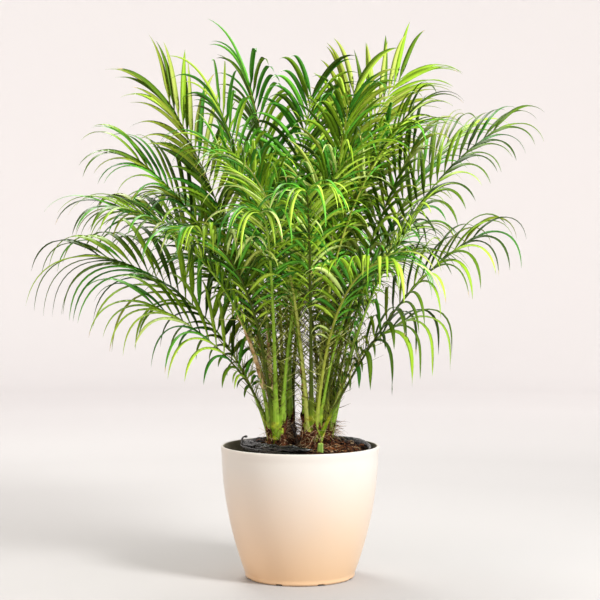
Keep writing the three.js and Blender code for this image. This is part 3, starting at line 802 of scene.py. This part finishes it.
def makeSpines():
    random = np.random.default_rng(23)
    bundle = newBundle()
    t = np.linspace(0, 1, spine["steps"])[:, None]
    for row in fronds:
        path = ribPath(row)
        reach = row["length"] * row["start"] + spine["past"]
        spots = np.arange(row["length"] * spine["from"], reach, spine["spacing"])
        for spot, side in product(spots, (-1, 1)):
            if random.uniform() < spine["missing"]:
                continue
            share = (spot + random.normal(0, spine["jitter"])) / row["length"]
            along = direction(row, share)
            across = sideOf(row) * side
            face = np.cross(sideOf(row), along)
            angle = random.uniform(*spine["angles"]) * degree
            lift = random.normal(*spine["lift"]) * degree
            raised = across * math.cos(lift) + face * math.sin(lift)
            heading = unit(along * math.cos(angle) + math.sin(angle) * raised)
            length = mix(spine["short"], spine["long"], share / row["start"])
            length *= random.uniform(*spine["lengths"])
            root = pointAt(path, share) + across * float(ribRadius(share)) * 0.7
            stray = random.normal(0, spine["stray"], 3)
            line = root + heading * length * t + (along * spine["bend"] + stray) * length * t ** 2
            radii = spine["radius"] * (1 - 0.85 * t[:, 0]) * random.uniform(*spine["radii"])
            tint = int(random.choice(3, p=spine["shares"]))
            addTo(bundle, tube(line, face, radii, circle(spine["sides"])), tint)
    materials = [roughMaterial("spineGreen", spine["green"], spine["brown"], 60, 0.5, 0.2),
                 roughMaterial("spineBrown", spine["brown"], spine["green"], 60, 0.6, 0.2),
                 roughMaterial("spinePale", spine["pale"], spine["green"], 60, 0.5, 0.2)]
    makePiece(bundle, "spines", materials, "frond")


makeSpines()
print("leaflets, stalks and spines")


# Stems: short fibrous trunks wrapped in the stubs of old leaf bases

bark = {
    "around": 64, "levels": 60, "relief": 1.6, "scarHeight": 11, "scarDepth": 1.2,
    "dark": (0.016, 0.006, 0.004), "red": (0.12, 0.042, 0.018),
    "fibreRust": (0.26, 0.1, 0.04), "fibrePale": (0.6, 0.44, 0.25), "fibreBlack": (0.015, 0.01, 0.008),
    "fibreShares": [0.5, 0.22, 0.28],
    "fibreLength": 24, "fibreLengths": (0.3, 1.25), "fibreRadii": (0.22, 0.5),
    "fibreArea": 22,  # of a wrap that has one fibre
}
# ragged wraps of old leaf bases: stem, turn, half of what it spans, heights, distance, lean, tint
wraps = [
    ("rightFront", 255, 68, 1, 30, 3.6, 3.5, 0), ("rightFront", 300, 30, 6, 44, 2.2, 5, 1),
    ("rightFront", 120, 50, 0, 40, 2.5, 5, 0), ("rightFront", 212, 26, 4, 58, 1.8, 6, 1),
    ("leftFront", 222, 24, 2, 34, 3.4, 5, 0), ("leftFront", 322, 34, 0, 48, 2.8, 5, 1),
    ("leftFront", 275, 24, -2, 14, 3.0, 3, 0), ("leftFront", 60, 60, 0, 44, 2.4, 5, 0),
    ("leftRear", 285, 50, 0, 66, 1.8, 4, 1), ("leftRear", 90, 64, 0, 46, 2.6, 5, 0),
    ("leftRear", 180, 34, 4, 54, 2.2, 5, 1), ("rightRear", 290, 40, 8, 62, 1.9, 4, 1),
    ("rightRear", 60, 60, 0, 44, 2.6, 5, 0), ("rightRear", 0, 40, 0, 36, 2.6, 4, 1),
]


def onStem(name, height, turn, off=0.0):
    radii, tops = zip(*(stem["outline"] + [(0, stem["height"])]))
    return stemAxis(name, height) + roundAxis(np.interp(height, tops, radii) + off, turn, 0)


# The trunk itself, with the worn rings of its leaf scars
def trunkBody(name, order):
    turns = turnsOf(bark["around"])
    heights = np.linspace(-6, stem["height"] - 1, bark["levels"])[:, None]
    grid = onStem(name, heights, turns)
    ridges = ripple(grid * [1, 1, 0.35], 9, 40 + order) * bark["relief"]
    scars = np.sin(heights * fullTurn / bark["scarHeight"] + 2 * ripple(grid, 30, 50 + order, 1))
    fade = 1 - smooth(80, 95, heights)
    return loft(onStem(name, heights, turns, (ridges + bark["scarDepth"] * scars) * fade))


# A curved sheet that hugs a stem, torn into teeth along its top
def wrapBody(name, turn, half, low, high, off, lean, seed, thick=1.7):
    random = np.random.default_rng(seed)
    angle = turnsOf(46)
    teeth = np.interp(np.cos(angle), np.linspace(-1, 1, 15), random.uniform(-0.42, 0.24, 15))
    rings = []
    for along in np.linspace(0, 1, 15):
        reach = half * degree * (1 - 0.28 * along ** 2) * np.cos(angle)
        height = low + (high - low) * along * (1 + teeth * along ** 2)
        flare = lean * along ** 2.2 + 0.5 * thick * (1 - 0.7 * along) * np.sin(angle)
        rings.append(onStem(name, np.clip(height, -4, stem["height"]), turn * degree + reach, off + flare))
    rings = np.array(rings)
    outward = unit((rings - [*stems[name][:2], 0]) * [1, 1, 0])
    folds = ripple(rings * [1, 1, 0.22], 5.5, seed + 1, 2) * 1.5 + ripple(rings, 16, seed + 2, 1) * 1.6
    return loft(rings + folds[..., None] * outward)


def fibreLine(root, heading, length, sag, seed):
    t = np.linspace(0, 1, 7)[:, None]
    line = root + heading * length * t - up * sag * length * t ** 2
    return line + ripple(line, 12, seed, 1)[:, None] * 1.1 * np.array([0.7, 0.7, 1]) * t


def makeStems():
    random = np.random.default_rng(31)
    materials = [
        roughMaterial("barkDark", bark["dark"], bark["red"], 90, 0.9, 0.9, (1, 1, 0.25)),
        roughMaterial("barkRed", bark["red"], bark["dark"], 110, 0.88, 0.9, (1, 1, 0.25)),
        roughMaterial("fibreRust", bark["fibreRust"], bark["dark"], 200, 0.8, 0.2),
        roughMaterial("fibrePale", bark["fibrePale"], bark["red"], 160, 0.75, 0.2, low=0.55, high=0.75),
        roughMaterial("fibreBlack", bark["fibreBlack"], bark["dark"], 160, 0.75, 0.2),
    ]
    fibres = newBundle()
    for order, name in enumerate(stems):
        trunk = newBundle()
        addTo(trunk, trunkBody(name, order), 0)
        for number, (owner, turn, half, low, high, off, lean, tint) in enumerate(wraps):
            if owner != name:
                continue
            addTo(trunk, wrapBody(name, turn, half, low, high, off, lean, 300 + 7 * number), tint)
            for _ in range(round(half * (high - low) / bark["fibreArea"])):
                around = (turn + half * random.uniform(-1, 1)) * degree
                height = mix(low, high, random.uniform(0.1, 1))
                share = (height - low) / (high - low)
                root = onStem(name, height, around, off + lean * share ** 2.2)
                outward = compass(around) * random.uniform(0.1, 0.9)
                beside = np.array([-math.sin(around), math.cos(around), 0]) * random.normal(0, 0.7)
                heading = unit(outward + beside + up * random.uniform(-0.5, 1.1))
                length = bark["fibreLength"] * random.uniform(*bark["fibreLengths"])
                line = fibreLine(root, heading, length, random.uniform(0, 0.5), int(random.integers(1 << 30)))
                radii = random.uniform(*bark["fibreRadii"]) * (1 - 0.65 * np.linspace(0, 1, len(line)))
                tint = int(random.choice(3, p=bark["fibreShares"]))
                addTo(fibres, tube(line, up + 0.3, radii, circle(4)), tint)
        makePiece(trunk, name + "Trunk", materials[:2], "stem", name + "Stem")
    makePiece(fibres, "stemFibres", materials[2:], "stem")


makeStems()


# Dead and cut pieces among the stems

deadWood = {
    "driedFoot": (-1, -25), "driedHead": (-18, -27), "driedHeight": 44, "driedRadii": (4.9, 1.5),
    "hairs": 26, "hairLengths": (6, 24), "hairRadius": 0.45, "hairSag": 0.28,
    "cutFoot": (37, -94), "cutHead": (38, -96), "cutHeight": 14, "cutRadii": (6.2, 4.7),
    "black": (0.012, 0.009, 0.008), "grey": (0.06, 0.045, 0.035),
    "papery": (0.72, 0.54, 0.3), "paperyDark": (0.34, 0.18, 0.07),
    "cutGreen": (0.08, 0.24, 0.012), "cutLine": (0.66, 0.66, 0.24), "cutFace": (0.5, 0.56, 0.16),
    # papery sheaths: frond, where along it, width, thickness, distance from the stalk, seed, tint
    "sheaths": [
        ("leftArch", 0.13, 0.42, 13, 0.9, 3.5, 3, 0), ("leftTall", 0.06, 0.3, 15, 0.9, 3.0, 6, 0),
        ("leftFore", 0.02, 0.13, 15, 1.0, 2.5, 9, 1), ("leftFore", 0.15, 0.42, 11, 0.9, 2.8, 18, 0),
        ("leftSpire", 0.08, 0.3, 12, 0.9, 2.8, 21, 0), ("rightSpread", 0.02, 0.1, 14, 1.0, 2.5, 12, 1),
        ("innerLeft", 0.03, 0.2, 13, 0.9, 3.0, 15, 1),
    ],
    "ragged": 4,
    "deadLine": dict(stem="rightFront", up=22, heading=178, rise=87, tip=87, bend=1, length=70),
    "deadRadii": (8, 4.6), "dead": (0.05, 0.022, 0.018), "deadLight": (0.12, 0.05, 0.03),
}


def makeDriedStalk():
    random = np.random.default_rng(5)
    bundle = newBundle()
    t = np.linspace(0, 1, 22)
    foot = np.array([*deadWood["driedFoot"], soil["top"] - 2])
    head = np.array([*deadWood["driedHead"], soil["top"] + deadWood["driedHeight"]])
    line = mix(foot, head, t[:, None]) + np.outer(np.sin(t * math.pi), [1.5, 0, 0])
    radii = mix(*deadWood["driedRadii"], t) * (1 + 0.14 * ripple(line, 7, 8))
    addTo(bundle, tube(line, np.array([1.0, 0, 0]), radii, circle(14, 0.8)))
    s = np.linspace(0, 1, 6)[:, None]
    for _ in range(deadWood["hairs"]):
        root = mix(foot, head, random.uniform(0.05, 1))
        heading = [random.normal(0.9, 0.5), random.normal(-0.2, 0.5), random.uniform(-0.1, 0.9)]
        length = random.uniform(*deadWood["hairLengths"])
        hair = root + unit(np.array(heading)) * length * s - up * deadWood["hairSag"] * length * s ** 2
        addTo(bundle, tube(hair, up, deadWood["hairRadius"] * (1 - 0.8 * s[:, 0]), circle(4)))
    material = roughMaterial("driedBlack", deadWood["black"], deadWood["grey"], 160, 0.75, 0.8, (1, 1, 0.3))
    makePiece(bundle, "driedStub", [material], "dryStalk", "driedStalk")


# A short stub, its cut face rounded over at the edge and a little hollow
def makeCutStalk():
    foot = np.array([*deadWood["cutFoot"], soil["top"] - 3])
    head = np.array([*deadWood["cutHead"], soil["top"] + deadWood["cutHeight"]])
    t = np.linspace(0, 1, 12)
    radii = np.append(mix(*deadWood["cutRadii"], t), [4.2, 2.0])
    line = mix(foot, head, np.append(t, [1, 1])[:, None])
    line[-2:, 2] += [0.3, -0.4]
    section = stalkSection(np.full(len(line), 0.5))
    across = np.array([1.0, 0, 0])
    out = np.cross(across, unit(head - foot))
    body = loft(line[:, None] + radii[:, None, None] * (section[..., :1] * across + section[..., 1:] * out))
    tints = np.zeros(len(body[1][0]), int)
    tints[-3 * stalk["sides"]:] = 1
    bundle = newBundle()
    addTo(bundle, body, [tints, 1])
    materials = [leafMaterial("cutGreen", deadWood["cutGreen"], deadWood["cutLine"]),
                 roughMaterial("cutFace", deadWood["cutFace"], deadWood["cutGreen"], 300, 0.7, 0.5)]
    makePiece(bundle, "cutStub", materials, "stem", "cutStalk")


# A thin curved sheath along a stalk, ragged at both ends
def sheathBody(row, low, high, width, thick, lift, seed):
    path = ribPath(row)
    t = np.linspace(0, 1, 26)
    shares = mix(low, high, t)
    line = pointAt(path, shares)
    along = direction(row, shares)
    side = np.broadcast_to(sideOf(row), line.shape)
    face = np.cross(side, along)
    angle = turnsOf(16)
    bulge = 0.55 + 0.6 * np.sin(math.pi * np.clip(t * 1.05 + 0.1, 0, 1)) ** 0.8
    half = 0.5 * width * bulge * (1 - 0.6 * t ** 3)
    spread = np.cos(angle)[None] * 1.35
    hug = half[:, None] * np.sin(spread)
    deep = half[:, None] * (np.cos(spread) - 1) * 0.9 + 0.5 * thick * np.sin(angle)[None]
    rings = line[:, None] + hug[..., None] * side[:, None] - (deep + lift)[..., None] * face[:, None]
    crumple = ripple(rings, 16, seed)[..., None] * 1.1 * face[:, None]
    teeth = deadWood["ragged"] * np.sin(5 * np.cos(angle) + seed)[None]
    jag = (teeth * (t[:, None] ** 6 - (1 - t[:, None]) ** 6))[..., None]
    return loft(rings + crumple + jag * along[:, None])


def makeSheaths():
    byName = {row["name"]: row for row in fronds}
    papery = newBundle()
    for name, *sizes, tint in deadWood["sheaths"]:
        addTo(papery, sheathBody(byName[name], *sizes), tint)
    materials = [
        roughMaterial("papery", deadWood["papery"], deadWood["paperyDark"], 45, 0.7, 0.5, (1, 1, 0.12)),
        roughMaterial("paperyDark", deadWood["paperyDark"], bark["dark"], 60, 0.8, 0.6, (1, 1, 0.12)),
    ]
    makePiece(papery, "driedSheaths", materials, "dryStalk")
    dead = newBundle()
    row = deadWood["deadLine"]
    t = np.linspace(0, 1, 24)
    line = pointAt(ribPath(row), t)
    radii = mix(*deadWood["deadRadii"], t) * (1 + 0.12 * ripple(line, 10, 77))
    addTo(dead, tube(line, sideOf(row), radii, circle(16, 0.75)))
    tones = deadWood["dead"], deadWood["deadLight"]
    material = roughMaterial("deadSheath", *tones, 120, 0.85, 0.9, (1, 1, 0.2))
    makePiece(dead, "deadSheath", [material], "dryStalk")


makeDriedStalk()
makeCutStalk()
makeSheaths()
print("stems and dead pieces")


# Soil: a lumpy bed with bark chips and pale root fibres

bed = {
    "rings": 70, "around": 200, "crowding": 0.8, "depth": 60, "under": 3, "lumps": 2.4, "fine": 1.1,
    "edge": 96, "fall": 6,  # radius from which the bed falls, and how far
    "mound": 7, "moundReach": 24,  # height and reach of the heap at each stem
    "chips": 1500, "chipShort": 1.5, "chipLong": 8.5, "chipReach": 114,
    "roots": 150, "rootLength": 34, "rootLengths": (0.4, 1.6), "rootReach": 104, "rootLimit": 112,
    "rootRadii": (0.25, 0.55), "rootArch": 3.5,
    "ground": (0.012, 0.006, 0.004), "groundLight": (0.04, 0.018, 0.01),
    "chipColours": [(0.012, 0.006, 0.004), (0.04, 0.015, 0.008), (0.1, 0.036, 0.015), (0.2, 0.085, 0.036),
                    (0.5, 0.34, 0.2)],
    "chipShares": [0.36, 0.29, 0.19, 0.11, 0.05],
    "bright": (66, -58, 26),  # place and spread of the patch with most fibres
    "root": (0.5, 0.36, 0.2), "rootRed": (0.34, 0.12, 0.04), "redShare": 0.6,
}


def bedHeight(spot):
    flat = spot * np.array([1, 1, 0])
    height = soil["top"] - bed["under"]
    for x, y, _, _ in stems.values():
        away = (spot[..., 0] - x) ** 2 + (spot[..., 1] - y) ** 2
        height = height + bed["mound"] * np.exp(-away / bed["moundReach"] ** 2)
    height = height + bed["lumps"] * ripple(flat, 34, 61) + bed["fine"] * ripple(flat, 9, 62)
    outwards = np.hypot(spot[..., 0] - soil["centre"], spot[..., 1])
    return height - bed["fall"] * smooth(bed["edge"], soil["radius"], outwards)


def makeGround():
    bundle = newBundle()
    radii = soil["radius"] * np.linspace(0, 1, bed["rings"] + 1)[1:, None] ** bed["crowding"]
    top = roundAxis(radii, turnsOf(bed["around"]), 0, soil["centre"])[::-1]
    top = top + bedHeight(top)[..., None] * up
    base = top[:1] * [1, 1, 0] + up * (soil["top"] - bed["depth"])
    addTo(bundle, loft(np.concatenate([base, top])))
    material = roughMaterial("soil", bed["ground"], bed["groundLight"], 150, 0.95, 1.0)
    makePiece(bundle, "soilBed", [material], "soil", "soil")


def makeChips(random):
    chips = newBundle()
    corners = np.array([[i, j, k] for k in (-1, 1) for i, j in ((-1, -1), (1, -1), (1, 1), (-1, 1))], float)
    faces = [np.array([[3, 2, 1, 0], [4, 5, 6, 7], [0, 1, 5, 4], [1, 2, 6, 5], [2, 3, 7, 6], [3, 0, 4, 7]])]
    for _ in range(bed["chips"]):
        radius = bed["chipReach"] * math.sqrt(random.uniform())
        at = compass(random.uniform(0, fullTurn)) * radius + [soil["centre"], 0, 0]
        size = mix(bed["chipShort"], bed["chipLong"], random.uniform() ** 2.2)
        shape = corners * size / 2 * [1, random.uniform(0.35, 0.8), random.uniform(0.18, 0.5)]
        shape = shape * random.uniform(0.6, 1.2, shape.shape)
        yaw, tilt = random.uniform(0, fullTurn), random.normal(0, 0.4)
        c, s = math.cos(yaw), math.sin(yaw)
        turnZ = np.array([[c, -s, 0], [s, c, 0], [0, 0, 1]])
        c, s = math.cos(tilt), math.sin(tilt)
        turnX = np.array([[1, 0, 0], [0, c, -s], [0, s, c]])
        points = shape @ (turnZ @ turnX).T + at + up * (bedHeight(at) + 0.3 + 0.12 * size)
        addTo(chips, (points, faces, np.zeros((8, 2))), int(random.choice(5, p=bed["chipShares"])))
    materials = [roughMaterial(f"chip{i}", colour, tuple(0.55 * c for c in colour), 300, 0.85, 0.6)
                 for i, colour in enumerate(bed["chipColours"])]
    makePiece(chips, "barkChips", materials, "soil", shadeSmooth=False)


def makeRoots(random):
    roots = newBundle()
    t = np.linspace(0, 1, 11)
    for number in range(bed["roots"]):
        radius, turn = bed["rootReach"] * math.sqrt(random.uniform()), random.uniform(0, fullTurn)
        foot = (compass(turn) * radius)[:2] + [soil["centre"], 0]
        if number % 2:
            foot = random.normal(bed["bright"][:2], bed["bright"][2])
        heading = random.uniform(0, fullTurn)
        length = bed["rootLength"] * random.uniform(*bed["rootLengths"])
        angles = heading + random.normal(0, 1.6) * t
        line = [*foot, 0] + np.cumsum(roundAxis(length / 10, angles, 0), 0)
        if np.hypot(line[:, 0] - soil["centre"], line[:, 1]).max() > bed["rootLimit"]:
            continue
        height = bedHeight(line) + 0.7 + random.uniform(0, bed["rootArch"]) * np.sin(math.pi * t)
        line = line + height[:, None] * up
        tint = int(random.uniform() < bed["redShare"])
        radii = random.uniform(*bed["rootRadii"]) * (1 - 0.5 * t)
        addTo(roots, tube(line, up, radii, circle(5)), tint)
    materials = [roughMaterial("rootPale", bed["root"], bed["rootRed"], 120, 0.75, 0.3, low=0.5, high=0.8),
                 roughMaterial("rootRed", bed["rootRed"], bed["ground"], 120, 0.8, 0.3)]
    makePiece(roots, "rootFibres", materials, "soil")


def makeSoil():
    random = np.random.default_rng(71)
    makeGround()
    makeChips(random)
    makeRoots(random)


makeSoil()


# Liner: a thin black nursery pot, its edge folded inwards and crumpled at the front left

film = {
    "centre": 12, "floor": 8.3, "foot": 84, "rim": 122, "top": 256, "thick": 1.3,
    "around": 260, "walls": 40, "bead": 1.5, "shake": 0.8, "wave": 0.5,
    # crumpled rolls that lie inside the rim: turns, radius, height, thickness, flatness, tilt, seed
    "rolls": [(160, 276, 112.5, 253.5, 6.4, 0.8, 10, 1), (172, 266, 103, 252.2, 5.2, 0.62, -14, 2),
              (186, 262, 109, 258.5, 4.2, 0.6, 30, 3), (196, 250, 94, 250.6, 5.5, 0.35, 6, 4)],
    "wander": (2.2, 1.3), "swell": 0.22, "crease": 0.17,
    "black": (0.004, 0.004, 0.004), "dusty": (0.03, 0.024, 0.018),
}


def rimPoint(radius, turn, height):
    return roundAxis(radius, turn, height, film["centre"])


def wallRadius(height):
    share = (height - film["floor"]) / (film["top"] - film["floor"])
    return mix(film["foot"], film["rim"], share)


def outOfRim(points):
    return unit(points * [1, 1, 0] - [film["centre"], 0, 0])


# The wall rises from the floor to a thin bead; at the back it stands free of the soil
def linerWall():
    turns = turnsOf(film["around"])
    front = smooth(0.2, 0.9, np.cos(turns + 45 * degree))
    back = smooth(0.1, 0.8, np.sin(turns))
    bead = film["bead"]
    edge = film["top"] - 4 - 6 * front + 3.5 * back - bead
    rings = []
    for share in np.linspace(0, 1, film["walls"]) ** 0.7:
        height = film["floor"] + (edge - film["floor"]) * share
        rings.append(rimPoint(wallRadius(height), turns, height))
    for angle in np.linspace(180, -70, 8) * degree:
        radius = wallRadius(edge) + bead * (1 + math.cos(angle))
        rings.append(rimPoint(radius, turns, edge + bead * math.sin(angle)))
    rings = np.array(rings)
    outward = outOfRim(rings)
    low = edge.min() + bead
    level = smooth(low - 60, low, rings[..., 2])[..., None]
    shake = film["shake"] * ripple(rings * [1, 1, 0.8], 15, 91, 3)[..., None] * outward
    wave = film["wave"] * ripple(rings, 22, 92)[..., None] * up
    rings = rings + level * (shake + wave)
    closed = np.concatenate([rings, rings[::-1] - outward[::-1] * film["thick"]])
    quads = ringQuads(*closed.shape[:2], closed=True)[:, [0, 3, 2, 1]]
    return closed.reshape(-1, 3), [quads], np.zeros((len(quads), 2))


# A roll of film, creased along its length
def rollBody(start, end, radius, height, thick, flat, tilt, seed):
    t = np.linspace(0, 1, 150)
    turns = mix(start, end, t) * degree
    wander = [share * ripple(rimPoint(radius, turns, height), 70, seed + 10 * k, 1)
              for k, share in enumerate(film["wander"], 1)]
    line = rimPoint(radius + wander[0], turns, height + wander[1])
    lean = tilt * degree + 0.5 * ripple(line, 60, seed + 5, 1)[:, None]
    across = outOfRim(line) * np.cos(lean) + up * np.sin(lean)
    swell = 1 + film["swell"] * ripple(line, 34, seed + 30, 2)
    radii = thick * swell * np.minimum(1, np.minimum(t, 1 - t) / 0.07 + 0.15)
    points, groups, maps = tube(line, across, radii, circle(40, flat))
    x, y, z = (points - [film["centre"], 0, 0]).T
    along = np.arctan2(y, x)
    crease = 1 - 2 * np.abs(ripple(np.stack([np.hypot(x, y), z, along * 34], 1), 9, seed + 40, 3))
    middle = np.stack([np.interp(along % fullTurn, turns, line[:, k]) for k in range(3)], 1)
    return points + film["crease"] * crease[:, None] * (points - middle), groups, maps


# A torn tongue of the edge, which stands up at the left and curls over
def tongueBody():
    t = np.linspace(0, 1, 22)
    x = -108 - 3 * np.sin(2.2 * t) + 11 * t ** 3.2
    line = np.stack([x, -7 + 3 * t, 247 + 19.5 * np.sin(1.72 * t)], 1)
    return tube(line, np.array([1.0, 0, 0]), mix(8.0, 2.2, t ** 0.8), [0.42, 1] * circle(14))


def makeLiner():
    bundle = newBundle()
    addTo(bundle, linerWall())
    for roll in film["rolls"]:
        addTo(bundle, rollBody(*roll))
    addTo(bundle, tongueBody())
    material = newMaterial("linerFilm", film["black"], 0.3, Specular_IOR_Level=0.6)
    dust = place(material, mottle, Base=film["black"], Second=film["dusty"], Scale=90, Low=0.55, High=0.8)
    creases = place(material, grain, Scale=190, Strength=0.6, Distance=0.0014)
    dress(material, dust["Colour"], creases["Normal"], dust["Mask"], 0.26, 0.6)
    makePiece(bundle, "linerFilm", [material], "liner", "liner")


makeLiner()


# Pot: a smooth cream cover pot, its wall almost upright at the rim

cover = {
    "height": 250, "rim": 150, "foot": 102, "wall": 5, "floor": 8, "edge": 6, "lip": 2.5, "band": 12,
    "crease": 1.1, "notches": 8, "notchWidth": 13, "notchHeight": 2, "notchDepth": (84, 90),
    "around": 384, "levels": 56, "innerLevels": 30,
    "creamLip": 9,  # steps of the lip's curve that are still cream
    # the peach is a painted warm reflection: low on the pot, fading to cream between the two heights
    "cream": (0.62, 0.585, 0.545), "peach": (0.73, 0.49, 0.29), "reflectionHeights": (10, 220),  # heights of the change
    # the inner wall: the same cream, painted darker as painted shade
    "inside": (0.3, 0.27, 0.21), "insideShadeDark": (0.17, 0.15, 0.11),
}


def potRadius(height):
    below = 1 - height / cover["height"]
    return cover["foot"] + (cover["rim"] - cover["foot"]) * (1 - below * below)


def arc(radius, height, size, start, end, count):
    angles = np.linspace(start, end, count) * degree
    return [(radius + size * math.cos(a), height + size * math.sin(a)) for a in angles]


# The outline from the middle of the underside, over the lip and down to the middle of the floor
def potProfile():
    top, lip, edge, floor = cover["height"], cover["lip"], cover["edge"], cover["floor"]
    profile = [(1, 0), (40, 0), (80, 0)] + arc(potRadius(edge) - edge, edge, edge, -90, -8, 9)
    footEnd = len(profile)
    for height in np.linspace(edge + 2, top - lip - 1, cover["levels"]):
        step = cover["crease"] * (1 - smooth(-1.2, 1.2, height - top + cover["band"]))
        profile.append((potRadius(height) - step, height))
    creamEnd = len(profile) + cover["creamLip"]
    profile += arc(cover["rim"] - lip, top - lip, lip, 0, 180, 13)
    for height in np.linspace(top - lip - 1, floor + 3, cover["innerLevels"]):
        profile.append((potRadius(height) - cover["wall"], height))
    profile += [(potRadius(floor) - cover["wall"] - 2, floor), (60, floor), (1, floor)]
    return np.array(profile), footEnd, creamEnd


def makePot():
    profile, footEnd, creamEnd = potProfile()
    turns = turnsOf(cover["around"])
    rings = roundAxis(profile[:, :1], turns, profile[:, 1:])
    period = 360 / cover["notches"]
    away = np.abs((turns / degree) % period - period / 2) * degree * cover["foot"] - cover["notchWidth"] / 2
    notch = cover["notchHeight"] * (1 - smooth(-1, 1, away))
    low = (np.arange(len(profile))[:, None] < footEnd) * (1 - smooth(0, 5, rings[..., 2]))
    rings[..., 2] += notch * low * smooth(*cover["notchDepth"], profile[:, :1])
    body = loft(rings[::-1])
    # faces inside, past the cream of the lip, take the painted shade of the inner wall
    inner = len(profile) - 1 - np.arange(len(body[1][0])) // cover["around"] > creamEnd
    bundle = newBundle()
    addTo(bundle, body, [inner, 1])
    material = newMaterial("potCream", cover["cream"], 0.3, Specular_IOR_Level=0.5, Coat_Weight=0.25,
                           Coat_Roughness=0.22)
    tree = material.node_tree
    # Painted reflection: peach at the foot turning to cream higher up; soft clouds mix in a little more of
    # the peach at random
    tone = colourMix(tree, heightShare(tree, *cover["reflectionHeights"]), cover["peach"], cover["cream"])
    clouds = place(material, mottle, Base=tone, Second=cover["peach"], Scale=5, Low=0.5, High=1.6)
    skin = place(material, grain, Scale=420, Strength=0.05, Distance=0.0002)
    dress(material, clouds["Colour"], skin["Normal"], skin["Mask"], 0.26, 0.36)
    inside = roughMaterial("potInsideShade", cover["inside"], cover["insideShadeDark"], 30, 0.6, 0.2, low=0.3, high=0.7)
    makePiece(bundle, "coverPot", [material, inside], "pot", "pot")


makePot()
print("pot, liner and soil")
